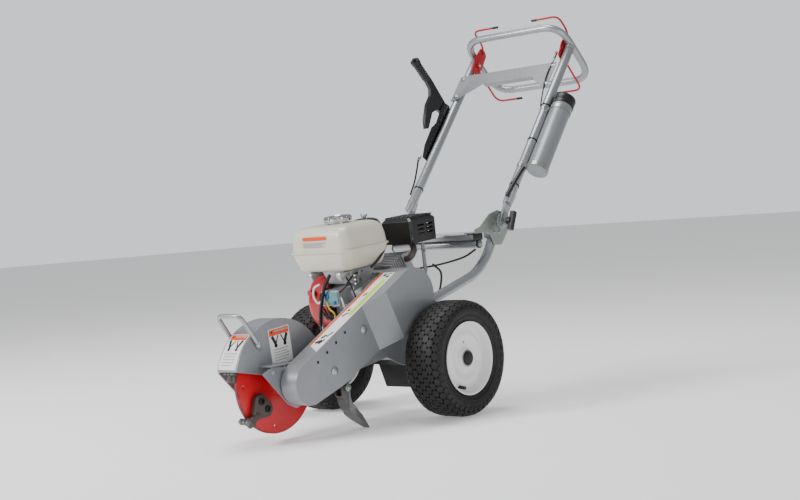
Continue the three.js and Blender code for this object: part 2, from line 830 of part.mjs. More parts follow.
function crossPlate() {
  const high = 622;
  const deep = 112;
  const shallow = 50;
  const inner = HANDLE_X - HANDLE_R - GAP;
  const outer = HANDLE_X + HANDLE_R;
  const outline = [
    [inner, high],
    [-outer, high],
    [-outer, high - deep],
    [-outer + 14, high - deep],
    [-inner + 84, high - shallow],
    [inner - 84, high - shallow],
    [inner - 12, high - deep],
    [inner, high - deep],
  ];
  const front = HANDLE_OFFSET - HANDLE_R - GAP;
  const sheet = new THREE.ExtrudeGeometry(flat(outline), { depth: SHEET, bevelEnabled: false });
  sheet.rotateX(Math.PI / 2).translate(0, front, 0);
  const lip = box(84 - inner, inner - 84, front - 1, front + 16, high - shallow, high - shallow + SHEET);
  piece("cross_plate", join(sheet, lip), "silver", handle);
}

// The operator's squeeze levers: a plate on the inner side of each tube top, with one rod that
// follows the front bar of the ring and one that follows the rear bar.
function squeezeLevers() {
  const x1 = HANDLE_X - HANDLE_R - 2.8;
  const x0 = x1 - 4;
  const plate = slab(
    [[-40, 652], [-6, 646], [2, 690], [-4, 742], [-20, 752], [-44, 744], [-50, 700]],
    x0,
    x1,
  );
  const over = RING.z + 47;
  const under = RING.z - 48;
  const tip = 72;
  const front = -19 - RING.front;
  const rear = -19 + RING.rear;
  const upper = bent(
    [[x0, -28, over - 16], [x0, -34, over], [x0, front, over + 6], [tip, front, over + 6]],
    3.5,
    26,
    6,
    16,
  );
  const lower = bent(
    [[x0, -12, under + 6], [x0, 20, under], [x0, rear, under - 12], [tip, rear, under - 12]],
    3.5,
    30,
    6,
    16,
  );
  const boss = rodX(9, x0 - 8, x0 + 1, HANDLE_OFFSET, 682, 12);
  bothSides("squeeze_lever", join(plate, upper, lower, boss), "red", handle);
}

function storageCanister() {
  const { x, y, r, low, high, cap } = CANISTER;
  const lid = [
    [r + GAP, high - cap],
    [r + 2.5, high - cap],
    [r + 2.5, high - 5],
    [r - 3, high],
    [0, high],
    [0, high - cap + 10 + GAP],
    [r + GAP, high - cap + 10 + GAP],
    [r + GAP, high - cap],
  ];
  piece("canister_cap", turnedUp(lid, x, y, 22), "black", handle);
  const tube = rodZ(HANDLE_R + GAP, HANDLE_X, HANDLE_OFFSET, 100, 600, 20);
  const shelf = plan(
    [...arc(x, y, r + 1, -60, 120, 12), ...arc(HANDLE_X, HANDLE_OFFSET, HANDLE_R + 4, 110, 270, 10)],
    low - 4,
    low + 1,
  );
  const strap = plan(
    [...arc(x, y, r + 2, -75, 130, 14), ...arc(HANDLE_X, HANDLE_OFFSET, HANDLE_R + 4, 110, 280, 10)],
    424,
    436,
  );
  const can = rodZ(r, x, y, low, high - cap + 10, 22);
  piece("canister", join(can, cut(shelf, tube), cut(strap, tube)), "silver", handle);
}

function parkBrake() {
  const { x, y, z } = BRAKE;
  const face = -HANDLE_X - HANDLE_R - GAP;
  const bracket = [
    [-12, 262],
    [-12, 470],
    [-34, 494],
    [-58, 488],
    [-62, 450],
    [-56, 400],
    [-66, 372],
    [-62, 300],
    [-48, 258],
  ];
  piece("brake_bracket", slab(bracket, face - 5, face, [round(y, z, 5.4)]), "black", handle);
  const lever = [
    [-24, 482],
    [-60, 494],
    [-150, 512],
    [-176, 515],
    [-178, 492],
    [-140, 482],
    [-126, 462],
    [-124, 424],
    [-104, 372],
    [-84, 352],
    [-74, 362],
    [-88, 420],
    [-74, 446],
    [-40, 452],
    [-26, 460],
  ];
  const inside = face - 5 - GAP;
  const grip = rod(13, [x, -166, 501], [x, -244, 510.5], 16);
  const end = rod(16, [x, -236, 509.5], [x, -250, 511.2], 16);
  const well = rod(6.4, [x, -238, 509.7], [x, -270, 513.6], 12);
  const pin = rodX(5, inside - 14, face - GAP, y, z, 12);
  const body = join(slab(lever, inside - 12, inside), grip, end, pin);
  piece("brake_lever", cut(body, well), "black", handle);
  piece("brake_button", rod(6, [x, -243, 510.3], [x, -258, 512.2], 12), "black", handle);
  const line = [[-217, -60, 254], [-217, -62, 240], [-215, -52, 206], [-213, -40, 160], [-212.5, -34, 110]];
  piece("brake_cable_upper", cable(line, 3), "black", handle);
}

wheels();
sidePlates();
handleFrame();
cutter();
hood();
foot();
debrisFlap();
beltDrive();
engineBlock();
fuelTank();
intakeAndExhaust();
heldCables();
handleTubes();
ringHandle();
crossPlate();
squeezeLevers();
storageCanister();
parkBrake();

// The origin is the bottom centre of the whole machine.
part.updateMatrixWorld(true);
const extent = new THREE.Box3().setFromObject(part, true);
const centre = extent.getCenter(new THREE.Vector3());
machine.position.set(-centre.x, -centre.y, -extent.min.z);

export default part;
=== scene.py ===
# %% [markdown]
# A walk-behind stump grinder, dressed for a picture. The measured solids come in as a fixed frame.
# Each visible surface is then either given a finish, rounded off as a worked copy, or modelled anew.

# %% Frame and measures
import bpy
import math
from mathutils import Matrix, Vector


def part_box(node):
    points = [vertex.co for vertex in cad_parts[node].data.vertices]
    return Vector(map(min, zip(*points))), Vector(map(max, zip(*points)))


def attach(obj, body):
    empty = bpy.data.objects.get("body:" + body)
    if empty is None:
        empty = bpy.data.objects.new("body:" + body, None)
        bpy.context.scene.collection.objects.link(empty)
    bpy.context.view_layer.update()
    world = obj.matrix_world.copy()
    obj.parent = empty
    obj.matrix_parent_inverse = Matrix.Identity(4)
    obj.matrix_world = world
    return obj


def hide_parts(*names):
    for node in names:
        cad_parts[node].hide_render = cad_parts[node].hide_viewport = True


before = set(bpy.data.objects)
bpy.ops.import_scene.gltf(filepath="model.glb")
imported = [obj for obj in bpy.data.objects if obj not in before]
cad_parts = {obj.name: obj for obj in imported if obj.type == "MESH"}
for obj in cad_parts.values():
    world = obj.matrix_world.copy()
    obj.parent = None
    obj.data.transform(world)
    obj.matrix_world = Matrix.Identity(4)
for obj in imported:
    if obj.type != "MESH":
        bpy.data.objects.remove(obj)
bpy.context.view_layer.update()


def middle(node):
    low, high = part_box(node)
    return (Vector(low) + Vector(high)) / 2


AXLE = middle("axle")
PIVOT = middle("clamp_knob_left")
SHAFT = middle("cutter_disc")
CRANK = middle("clutch_pulley")
WHEEL = middle("tyre_left")

# %% [markdown]
# The engine sits five degrees nose down and the handle leans back. Each gets its own matrix, so that
# its pieces are drawn upright in millimetres and put in place once, at the end.

# %% The leaning frames
MM = 0.001
SCALE = Matrix.Scale(MM, 4)
GROUND = Matrix.Translation((0, AXLE.y, 0)) @ SCALE
ENGINE = Matrix.Translation((0, CRANK.y, CRANK.z)) @ Matrix.Rotation(math.radians(5), 4, "X") @ SCALE
HANDLE = Matrix.Translation((0, PIVOT.y, PIVOT.z)) @ Matrix.Rotation(math.radians(-39.4), 4, "X") @ SCALE
DISC = Matrix.Translation((0, SHAFT.y, SHAFT.z)) @ SCALE

# %% [markdown]
# Shader arithmetic reads best as plain expressions, so one small class wraps a socket and turns
# Python's operators into Math nodes.


# %% Shader expressions
class Signal:
    def __init__(self, tree, socket):
        self.tree, self.socket = tree, socket

    def maths(self, operation, first, second):
        return grow(self.tree, "ShaderNodeMath", {"operation": operation}, {0: first, 1: second})

    def __add__(self, other):
        return self.maths("ADD", self, other)

    def __sub__(self, other):
        return self.maths("SUBTRACT", self, other)

    def __mul__(self, other):
        return self.maths("MULTIPLY", self, other)

    __radd__ = __add__
    __rmul__ = __mul__


def grow(tree, kind, settings, values, output=0):
    """Adds one node, sets it up, fills its inputs and returns one output as a signal."""
    node = tree.nodes.new(kind)
    for key, value in settings.items():
        if key == "stops":
            ends = node.color_ramp.elements
            for end, (place, level) in zip(ends, value):
                end.position, end.color = place, (level, level, level, 1)
        else:
            setattr(node, key, value)
    for key, value in values.items():
        if isinstance(value, Signal):
            tree.links.new(value.socket, node.inputs[key])
        else:
            node.inputs[key].default_value = value
    return Signal(tree, node.outputs[output])


class Finish:
    """One procedural material, built round a Principled shader."""

    def __init__(self, name):
        self.material = bpy.data.materials.new(name)
        self.material.use_nodes = True
        self.tree = self.material.node_tree
        self.shader = self.tree.nodes["Principled BSDF"]
        self.place = grow(self.tree, "ShaderNodeTexCoord", {}, {}, "Object")

    def noise(self, scale, detail=3.0):
        values = {"Vector": self.place, "Scale": scale, "Detail": detail}
        return grow(self.tree, "ShaderNodeTexNoise", {}, values)

    def ramp(self, signal, low, high):
        stops = {"stops": ((low, 0.0), (high, 1.0))}
        return grow(self.tree, "ShaderNodeValToRGB", stops, {0: signal})

    def mix(self, mask, first, second):
        full = [c if isinstance(c, Signal) else (*c, 1) for c in (first, second)]
        settings = {"data_type": "RGBA"}
        return grow(self.tree, "ShaderNodeMix", settings, {0: mask, 6: full[0], 7: full[1]}, 2)

    def set(self, **inputs):
        for key, value in inputs.items():
            socket = self.shader.inputs[key.replace("_", " ")]
            if isinstance(value, Signal):
                self.tree.links.new(value.socket, socket)
            else:
                socket.default_value = value
        return self.material

    def bump(self, height, strength, distance):
        values = {"Height": height, "Strength": strength, "Distance": distance}
        normal = grow(self.tree, "ShaderNodeBump", {}, values)
        self.tree.links.new(normal.socket, self.shader.inputs["Normal"])


# %% [markdown]
# Paint on sheet steel is never one flat colour: it clouds a little, carries fine orange peel, and is
# rubbed duller in patches. Cast and plated metals are the same recipe with coarser grain.


# %% Coat of paint, metal or plastic
def shade(colour, factor):
    return tuple(min(1.0, c * factor) for c in colour)


def coated(name, colour, metallic, roughness, grain, relief, cloud=0.12, coat=0.0, tint=None):
    made = Finish(name)
    clouds = made.ramp(made.noise(14.0), 0.3, 0.7)
    specks = made.ramp(made.noise(grain, 2.0), 0.35, 0.65)
    base = made.mix(clouds, shade(colour, 1 - cloud), shade(colour, 1 + cloud))
    worn = tint if tint else shade(colour, 1 - 1.5 * cloud)
    patches = made.ramp(made.noise(38.0, 5.0), 0.56, 0.72)
    base = made.mix(patches * 0.5, base, worn)
    made.bump(specks * 0.7 + clouds * 0.3, 0.5, relief)
    rough = roughness - 0.05 + specks * 0.05 + patches * 0.08
    return made.set(Base_Color=base, Metallic=metallic, Roughness=rough, Coat_Weight=coat)


SILVER = coated("silver paint", (0.255, 0.265, 0.28), 0.3, 0.36, 900, 0.00003, 0.05)
TUBE = coated("tube paint", (0.35, 0.365, 0.38), 0.7, 0.36, 900, 0.0, 0.03)
RED = coated("red paint", (0.42, 0.002, 0.008), 0.0, 0.36, 500, 0.0, 0.06, 0.12)
BLACK = coated("black paint", (0.004, 0.004, 0.0045), 0.0, 0.36, 700, 0.0001, 0.2, 0.15)
PLASTIC = coated("black plastic", (0.006, 0.006, 0.0065), 0.0, 0.42, 800, 0.00005, 0.2)
WHITE = coated("white rim paint", (0.82, 0.82, 0.81), 0.0, 0.3, 500, 0.00003, 0.03, 0.3)
CREAM = coated("cream tank", (0.66, 0.62, 0.51), 0.0, 0.34, 400, 0.00003, 0.03, 0.2)
ZINC = coated("zinc plate", (0.36, 0.39, 0.36), 0.8, 0.34, 600, 0.00004, 0.1, 0.0, (0.34, 0.38, 0.28))
CHROME = coated("chrome", (0.50, 0.50, 0.51), 1.0, 0.16, 500, 0.00001, 0.03)
CAST = coated("cast steel", (0.085, 0.068, 0.058), 0.45, 0.5, 160, 0.0003, 0.25, 0.0, (0.15, 0.125, 0.105))
STEEL = coated("worn steel", (0.13, 0.13, 0.13), 0.7, 0.42, 260, 0.0001, 0.2, 0.0, (0.24, 0.23, 0.22))
ALLOY = coated("cast aluminium", (0.46, 0.46, 0.47), 0.6, 0.42, 300, 0.0001, 0.12)
DARK = coated("dark steel", (0.018, 0.017, 0.017), 0.5, 0.45, 300, 0.0001, 0.2)
BELT = coated("belt rubber", (0.012, 0.012, 0.013), 0.0, 0.7, 500, 0.0002, 0.2)
FLAP = coated("flap rubber", (0.006, 0.006, 0.007), 0.0, 0.55, 260, 0.0002, 0.3)
ORANGE = coated("orange sign film", (0.80, 0.075, 0.002), 0.0, 0.4, 500, 0.00002, 0.04)
PAPER = coated("white sign film", (0.80, 0.80, 0.79), 0.0, 0.4, 500, 0.00002, 0.03)
INK = coated("black sign film", (0.006, 0.006, 0.006), 0.0, 0.45, 500, 0.00002, 0.1)
LIME = coated("lime sign film", (0.50, 0.68, 0.01), 0.0, 0.4, 500, 0.00002, 0.05)
BLUE = coated("blue plastic", (0.01, 0.11, 0.40), 0.0, 0.4, 500, 0.00005, 0.1)
TEAL = coated("teal cover", (0.12, 0.30, 0.32), 0.0, 0.3, 500, 0.00005, 0.15)
YELLOW = coated("yellow sleeve", (0.75, 0.48, 0.01), 0.0, 0.4, 500, 0.00005, 0.1)

# %% [markdown]
# Tyre rubber is brown-black, dull, and keeps pale dust in its hollows, so a coarse noise lightens
# the lower spots while a fine one roughens the skin.

# %% Tyre rubber
rubber = Finish("tyre rubber")
dust = rubber.ramp(rubber.noise(46.0, 6.0), 0.45, 0.75)
skin = rubber.noise(520.0, 3.0)
rubber.bump(skin, 0.5, 0.0004)
TYRE = rubber.set(
    Base_Color=rubber.mix(dust * 0.6, (0.0045, 0.0036, 0.0032), (0.015, 0.011, 0.009)),
    Roughness=0.6 + 0.2 * dust,
)

# %% [markdown]
# Everything below is modelled with a handful of hand moves: pick by place, extrude, bevel, spin and
# finish with applied modifiers.

# %% Hand moves


def alone(piece):
    bpy.ops.object.select_all(action="DESELECT")
    piece.select_set(True)
    bpy.context.view_layer.objects.active = piece


def modify(piece, kind, **settings):
    alone(piece)
    added = piece.modifiers.new(kind.lower(), kind)
    for key, value in settings.items():
        setattr(added, key, value)
    bpy.ops.object.modifier_apply(modifier=added.name)


def rounded(piece, width, segments=2, angle=30):
    modify(piece, "BEVEL", width=width, segments=segments, limit_method="ANGLE",
           angle_limit=math.radians(angle), use_clamp_overlap=True)


def smooth(piece, angle=35):
    alone(piece)
    bpy.ops.object.shade_smooth_by_angle(angle=math.radians(angle))


def block(x0, x1, y0, y1, z0, z1, bevel=1.5, segments=2):
    """A rounded block between two corners, in millimetres."""
    bpy.ops.object.select_all(action="DESELECT")
    at = ((x0 + x1) / 2, (y0 + y1) / 2, (z0 + z1) / 2)
    bpy.ops.mesh.primitive_cube_add(size=1, location=at, scale=(x1 - x0, y1 - y0, z1 - z0))
    piece = bpy.context.object
    bpy.ops.object.transform_apply(location=True, rotation=True, scale=True)
    if bevel:
        rounded(piece, bevel, segments)
    return piece


def drum(r, a, b, sides=32, bevel=0.8):
    """A round or, with six sides, a hexagonal bar from point a to point b, its rims eased."""
    a, b = Vector(a), Vector(b)
    bpy.ops.object.select_all(action="DESELECT")
    bpy.ops.mesh.primitive_cone_add(vertices=sides, radius1=r, radius2=r, depth=(b - a).length,
                                    location=(a + b) / 2)
    piece = bpy.context.object
    piece.rotation_mode = "QUATERNION"
    piece.rotation_quaternion = Vector((0, 0, 1)).rotation_difference(b - a)
    bpy.ops.object.transform_apply(location=True, rotation=True, scale=True)
    if bevel:
        rounded(piece, bevel, 2, 40)
    return piece


def spun(profile, centre, axis="X", steps=48):
    """A closed profile of (radius, along) points spun in edit mode about a line through centre."""
    bpy.ops.object.select_all(action="DESELECT")
    bpy.ops.mesh.primitive_plane_add(size=1)
    piece = bpy.context.object
    mesh = piece.data
    mesh.clear_geometry()
    centre = Vector(centre)
    lift = Vector((1, 0, 0)) if axis == "Z" else Vector((0, 0, 1))
    run = Vector([float(letter == axis) for letter in "XYZ"])
    points = [centre + lift * r + run * t for r, t in profile]
    mesh.from_pydata(points, [(i, i + 1) for i in range(len(points) - 1)], [])
    alone(piece)
    bpy.ops.object.mode_set(mode="EDIT")
    bpy.ops.mesh.select_all(action="SELECT")
    bpy.ops.mesh.spin(steps=steps, angle=2 * math.pi, center=centre, axis=run)
    bpy.ops.mesh.select_all(action="SELECT")
    bpy.ops.mesh.remove_doubles(threshold=0.01)
    bpy.ops.mesh.normals_make_consistent(inside=False)
    bpy.ops.object.mode_set(mode="OBJECT")
    return piece


def band(inner, outer, start, end, centre, axis, steps):
    """A plain ring of square section between two radii and two places along its axis."""
    section = [(inner, start), (outer, start), (outer, end), (inner, end), (inner, start)]
    return spun(section, centre, axis, steps)


def bar(points, r, corner=0.0, sides=16):
    """A bent round bar: straight runs between points, with each corner turned at a radius."""
    points = [Vector(p) for p in points]
    path = [points[0]]
    for before, here, after in zip(points, points[1:], points[2:]):
        into, out = (before - here).normalized() * corner, (after - here).normalized() * corner
        for i in range(9 if corner else 1):
            t = i / 8 if corner else 0.5
            path.append((1 - t) ** 2 * (here + into) + 2 * t * (1 - t) * here + t * t * (here + out))
    path.append(points[-1])
    line = bpy.data.curves.new("bar", "CURVE")
    line.dimensions, line.bevel_depth, line.bevel_resolution = "3D", r, sides // 4
    line.use_fill_caps = True
    spline = line.splines.new("POLY")
    spline.points.add(len(path) - 1)
    for point, place in zip(spline.points, path):
        point.co = (*place, 1)
    piece = bpy.data.objects.new("bar", line)
    bpy.context.collection.objects.link(piece)
    alone(piece)
    bpy.ops.object.convert(target="MESH")
    return bpy.context.object


def cable(points, r):
    """A soft lead through the points, rounded by sampling a Catmull-Rom curve."""
    points = [Vector(p) for p in points]
    path = []
    ends = [2 * points[0] - points[1], *points, 2 * points[-1] - points[-2]]
    for a, b, c, d in zip(ends, ends[1:], ends[2:], ends[3:]):
        for i in range(8):
            t = i / 8
            path.append(0.5 * (2 * b + (c - a) * t + (2 * a - 5 * b + 4 * c - d) * t * t
                               + (3 * b - a - 3 * c + d) * t ** 3))
    return bar([*path, points[-1]], r, 0, 12)


def sheet(outline, thick, to, bevel=0.0):
    """A flat outline of (u, v) points, extruded in edit mode, then stood up by the matrix `to`."""
    bpy.ops.object.select_all(action="DESELECT")
    bpy.ops.mesh.primitive_plane_add(size=1)
    piece = bpy.context.object
    piece.data.clear_geometry()
    piece.data.from_pydata([(u, v, 0) for u, v in outline], [], [range(len(outline))])
    alone(piece)
    bpy.ops.object.mode_set(mode="EDIT")
    bpy.ops.mesh.select_all(action="SELECT")
    bpy.ops.mesh.extrude_region_move(TRANSFORM_OT_translate={"value": (0, 0, thick)})
    bpy.ops.mesh.select_all(action="SELECT")
    bpy.ops.mesh.normals_make_consistent(inside=False)
    bpy.ops.object.mode_set(mode="OBJECT")
    if bevel:
        rounded(piece, bevel)
    piece.data.transform(to)
    return piece


SIDE_VIEW = Matrix(((0, 0, 1, 0), (1, 0, 0, 0), (0, 1, 0, 0), (0, 0, 0, 1)))  # (y, z) outline, thick in x


def circle(u, v, r, count=24, start=0, end=360):
    turns = [math.radians(start + (end - start) * i / count) for i in range(count + (end - start < 360))]
    return [(u + r * math.cos(t), v + r * math.sin(t)) for t in turns]


def joined(pieces):
    bpy.ops.object.select_all(action="DESELECT")
    for piece in pieces:
        piece.select_set(True)
    bpy.context.view_layer.objects.active = pieces[0]
    if len(pieces) > 1:
        bpy.ops.object.join()
    return bpy.context.object


def repeated(piece, count, centre, axis):
    """Copies of one piece turned about an axis, each with its own mesh, joined into one."""
    copies = [piece]
    for i in range(1, count):
        copy = piece.copy()
        copy.data = piece.data.copy()
        bpy.context.collection.objects.link(copy)
        turn = Matrix.Rotation(math.radians(360 / count) * i, 4, axis)
        copy.data.transform(Matrix.Translation(centre) @ turn @ Matrix.Translation(-Vector(centre)))
        copies.append(copy)
    return joined(copies)


def carved(piece, *tools):
    """Takes tool shapes out of a piece with applied booleans."""
    for tool in tools:
        modify(piece, "BOOLEAN", operation="DIFFERENCE", object=tool, solver="EXACT")
        bpy.data.objects.remove(tool)
    return piece


def flip(piece):
    """Turns a piece into its mirror image across the machine, with its faces kept facing out."""
    piece.data.transform(Matrix.Scale(-1, 4, (1, 0, 0)))
    piece.data.flip_normals()
    return piece


def mirrored(piece):
    copy = piece.copy()
    copy.data = piece.data.copy()
    bpy.context.collection.objects.link(copy)
    return flip(copy)


def place(piece, name, body, finish, slot, to=GROUND, replaces=(), angle=35):
    """Moves a finished piece into the machine, names it, paints it and lets it ride on its body."""
    piece.name = piece.data.name = name
    piece.data.transform(to)
    piece.data.materials.clear()
    piece.data.materials.append(finish)
    smooth(piece, angle)
    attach(piece, body)
    if replaces:
        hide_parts(*replaces)
    return piece


def eased(node, body, finish, slot, width, angle=35):
    """A worked copy of a solid: merged, its flats cleaned, its edges eased, standing for the node."""
    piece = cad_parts[node].copy()
    piece.data = piece.data.copy()
    piece.parent = None
    bpy.context.collection.objects.link(piece)
    alone(piece)
    bpy.ops.object.mode_set(mode="EDIT")
    bpy.ops.mesh.select_all(action="SELECT")
    bpy.ops.mesh.remove_doubles(threshold=0.00002)
    bpy.ops.mesh.dissolve_limited(angle_limit=math.radians(1))
    bpy.ops.object.mode_set(mode="OBJECT")
    rounded(piece, width * MM, 2, min(28, angle - 1))
    place(piece, node + "_eased", body, finish, slot, Matrix(), (node,), angle)
    modify(piece, "WEIGHTED_NORMAL", mode="FACE_AREA", weight=100, keep_sharp=True)


# %% [markdown]
# ## Camera, floor and light
# The machine is seen from its front left, low down, with a long lens. The floor is one plain pale
# sheet, and the light is soft: a wide overhead panel, a key from the left and a weaker fill.

# %% Camera
heading, dip, tilt = math.radians(40.95), math.radians(1.36), math.radians(-4.17)
across = Vector((math.cos(heading), math.sin(heading), 0))
back = Vector((math.sin(heading) * math.cos(dip), -math.cos(heading) * math.cos(dip), math.sin(dip)))
above = back.cross(across)
right = across * math.cos(tilt) + above * math.sin(tilt)
up = above * math.cos(tilt) - across * math.sin(tilt)
lens = bpy.data.cameras.new("camera")
lens.lens, lens.sensor_width = 59.86, 36
camera = bpy.data.objects.new("camera", lens)
camera.matrix_world = Matrix.Translation((2.6278, AXLE.y - 2.9435, 0.5727)) @ Matrix(
    (right, up, back)).transposed().to_4x4()
bpy.context.collection.objects.link(camera)
bpy.context.scene.camera = camera

# %% Floor and backdrop in one sheet
bpy.ops.object.select_all(action="DESELECT")
bpy.ops.mesh.primitive_plane_add(size=60, location=(0, 0, -0.0005))
floor = bpy.context.object
floor.name = "floor"
paper = Finish("pale floor")
white = (0.95, 0.95, 0.95, 1)
floor.data.materials.append(paper.set(Base_Color=white, Roughness=0.9, Emission_Color=white,
                                      Emission_Strength=0.3))


# %% Soft studio light
def panel(name, at, size, power):
    light = bpy.data.lights.new(name, "AREA")
    light.shape, light.size, light.energy = "DISK", size, power
    lamp = bpy.data.objects.new(name, light)
    lamp.location = at
    lamp.rotation_euler = (Vector((0, 0, 0.5)) - Vector(at)).to_track_quat("-Z", "Y").to_euler()
    bpy.context.collection.objects.link(lamp)


panel("overhead", (-0.6, -0.2, 4.4), 2.4, 110)
panel("key", (-2.2, -4.0, 2.8), 1.6, 210)
panel("fill", (4.4, -1.6, 1.6), 2.6, 42)
world = bpy.data.worlds.new("studio")
bpy.context.scene.world = world
world.use_nodes = True
sky = world.node_tree
sky.nodes["Background"].inputs["Color"].default_value = (0.94, 0.96, 1.0, 1)
seen = grow(sky, "ShaderNodeLightPath", {}, {})
sky.links.new((seen * 0.6 + 0.42).socket, sky.nodes["Background"].inputs["Strength"])

# %% [markdown]
# ## Wheels
# A turf tyre is a smooth carcass with rows of moulded lugs. The carcass is spun from its section.
# One lug is beveled and leaned, then copied round the tread. Every row is of six-sided blocks, set
# half a step on from its neighbour, and the outer rows are smaller and lean over the shoulder.

# %% Tyre
TREAD_R = 162
LUG_HEIGHT = 6.0


def lug(x, along, wide, long, lean, r):
    """A six-sided block on the tread, leaned over towards the shoulder and moved along the tread."""
    piece = drum(1.0, (0, 0, -LUG_HEIGHT / 2), (0, 0, LUG_HEIGHT / 2), 6, 0)
    shape = Matrix.Diagonal((wide / 2, long / 2, 1, 1))
    tip = Matrix.Rotation(math.radians(lean), 4, "Y")
    piece.data.transform(Matrix.Translation((x, 0, r)) @ tip @ shape)
    rounded(piece, 0.9, 1)
    piece.data.transform(Matrix.Rotation(math.radians(along), 4, "X"))
    return piece


section = [(100, -45), (112, -52), (126, -58.5), (138, -60.5), (147, -58.5), (153, -53), (156.5, -43),
           (157.6, -28), (158, 0)]
carcass = section + [(r, -x) for r, x in reversed(section[:-1])] + [section[0]]
parts = [spun(carcass, (0, 0, 0), "X", 96)]
STEPS = 42
pitch = 360 / STEPS
for x, offset, wide, long, lean, r in (
    (0, 0.0, 22.4, 26, 0, TREAD_R),
    (-17.2, 0.5, 22.4, 26, -3, TREAD_R),
    (17.2, 0.5, 22.4, 26, 3, TREAD_R),
    (-34.2, 0.0, 22.4, 26, -11, TREAD_R - 1),
    (34.2, 0.0, 22.4, 26, 11, TREAD_R - 1),
    (-49.5, 0.5, 20, 25, -36, TREAD_R - 6.6),
    (49.5, 0.5, 20, 25, 36, TREAD_R - 6.6),
    (-57.6, 0.0, 18, 17, -72, TREAD_R - 17),
    (57.6, 0.0, 18, 17, 72, TREAD_R - 17),
):
    parts.append(repeated(lug(x, offset * pitch, wide, long, lean, r), STEPS, (0, 0, 0), "X"))
for side in (-1, 1):
    ring = [(118, side * 55.5), (120, side * 57.8), (122, side * 57.6)]
    parts.append(spun([*ring, (121, side * 52), (117, side * 52), ring[0]], (0, 0, 0), "X", 72))
tyre = joined(parts)
tyre.data.transform(Matrix.Translation(WHEEL) @ SCALE)
right_tyre = mirrored(tyre)
place(tyre, "tyre_left_tread", "wheel_left", TYRE, "tyre_rubber", Matrix(), ("tyre_left",), 40)
place(right_tyre, "tyre_right_tread", "wheel_right", TYRE, "tyre_rubber", Matrix(), ("tyre_right",), 40)

# %% [markdown]
# The rim is pressed steel: a rolled flange at the bead, a deep well, a dished centre with a raised
# ring, and a hub pressed through it. Spinning the whole section in one go keeps it crisp.

# %% Rim
bead = [(104, 53), (104, 50.5), (99.3, 49.5), (98.6, 40), (95, 34), (95, -34), (98.6, -40), (98.6, -52),
        (94, -52), (92, -34), (92, 20), (88, 21.5), (80, 27), (72, 34.5), (66, 36.5), (60, 35), (50, 30.5),
        (40, 29), (27, 29), (25, 33), (24, 40), (13, 40), (13, 42.5), (26.5, 42.5), (29, 36), (31, 32.5),
        (40, 32), (50, 33.5), (60, 38.2), (66, 39.8), (72, 38), (81, 30.5), (89, 25), (93, 26), (95, 32),
        (96.5, 40), (98, 50), (100.5, 53), (104, 53)]
rim = spun(bead, (0, 0, 0), "X", 96)
inner_hub = band(11, 24, -30, 31, (0, 0, 0), "X", 48)
rim = joined([rim, inner_hub])
hole = drum(4.5, (20, 0, 46), (50, 0, 46), 24, 0)
valve_hole = drum(5.5, (10, -28, -78), (45, -28, -78), 24, 0)
rim = carved(rim, hole, valve_hole)
valve = joined([drum(4.4, (20, -28, -78), (44, -30, -80), 20, 0.6),
                drum(5.2, (43, -30, -80), (52, -30.6, -80.8), 12, 0.6)])
for piece, name, finish, slot, covers in (
    (rim, "rim", WHITE, "rim_white", "rim"),
    (valve, "valve", PLASTIC, "black_plastic", None),
):
    piece.data.transform(Matrix.Translation(WHEEL) @ SCALE)
    other = mirrored(piece)
    for side, shape in (("left", piece), ("right", other)):
        place(shape, name + "_formed_" + side, "wheel_" + side, finish, slot, Matrix(),
              (covers + "_" + side,) if covers else (), 32)

# %% Axle with its hub caps
AXLE_Z = 165
axle_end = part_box("axle")[1][0] / MM
bolt = drum(10, (-axle_end + 1, 0, AXLE_Z), (axle_end - 1, 0, AXLE_Z), 40)
caps = []
for side in (-1, 1):
    dome = [(0.01, 0), (21, 0), (21, 4), (18, 7.4), (10, 8.9), (0.01, 9)]
    cap = spun([(r, side * (axle_end - 9 + t)) for r, t in [*dome, dome[0]]], (0, 0, AXLE_Z), "X", 40)
    caps += [cap, drum(6, (side * (axle_end - 1), 0, AXLE_Z), (side * (axle_end - 0.2), 0, AXLE_Z), 6, 0.2)]
place(joined(caps), "hub_caps", "chassis", DARK, "black_paint")
washers = [drum(25, (side * (axle_end - 10.5), 0, AXLE_Z), (side * (axle_end - 7), 0, AXLE_Z), 40, 0.8)
           for side in (-1, 1)]
place(joined(washers), "hub_washers", "chassis", ZINC, "zinc")
place(bolt, "axle_bar", "chassis", ZINC, "zinc", GROUND, ("axle",))

# %% [markdown]
# ## Cutter
# The disc is a flame-cut plate. Spinning its section gives the hub and the face together, and the
# balance holes are then bored. Its rim is worn back to dark steel where it throws chips.

# %% Cutting disc
disc = spun([(15.3, -14), (33, -14), (34, -13), (34, 3.2), (140, 3.2), (141, 4), (141, 12), (140, 12.8),
             (34, 12.8), (34, 29), (33, 30), (15.3, 30), (15.3, -14)], (0, 0, 0), "X", 120)
BALANCE_R = 119
bores = []
for turn in (0, 84, 180, 264):
    y, z = BALANCE_R * math.cos(math.radians(turn)), BALANCE_R * math.sin(math.radians(turn))
    bores.append(drum(5.2, (-5, y, z), (25, y, z), 24, 0))
disc = carved(disc, *bores)
scuffed = Finish("disc red")
radius = grow(scuffed.tree, "ShaderNodeVectorMath", {"operation": "DISTANCE"},
              {0: grow(scuffed.tree, "ShaderNodeVectorMath", {"operation": "MULTIPLY"},
                       {0: scuffed.place, 1: (0, 1, 1)}),
               1: (0, SHAFT.y, SHAFT.z)}, "Value")
rim_wear = scuffed.ramp(radius + (scuffed.noise(60.0, 6.0) - 0.5) * 0.012, 0.1365, 0.1415)
streaks = scuffed.ramp(scuffed.noise(90.0, 5.0), 0.6, 0.75)
tone = scuffed.mix(streaks * 0.35, (0.62, 0.010, 0.018), (0.36, 0.008, 0.012))
scuffed.bump(scuffed.noise(260.0, 3.0), 0.4, 0.0002)
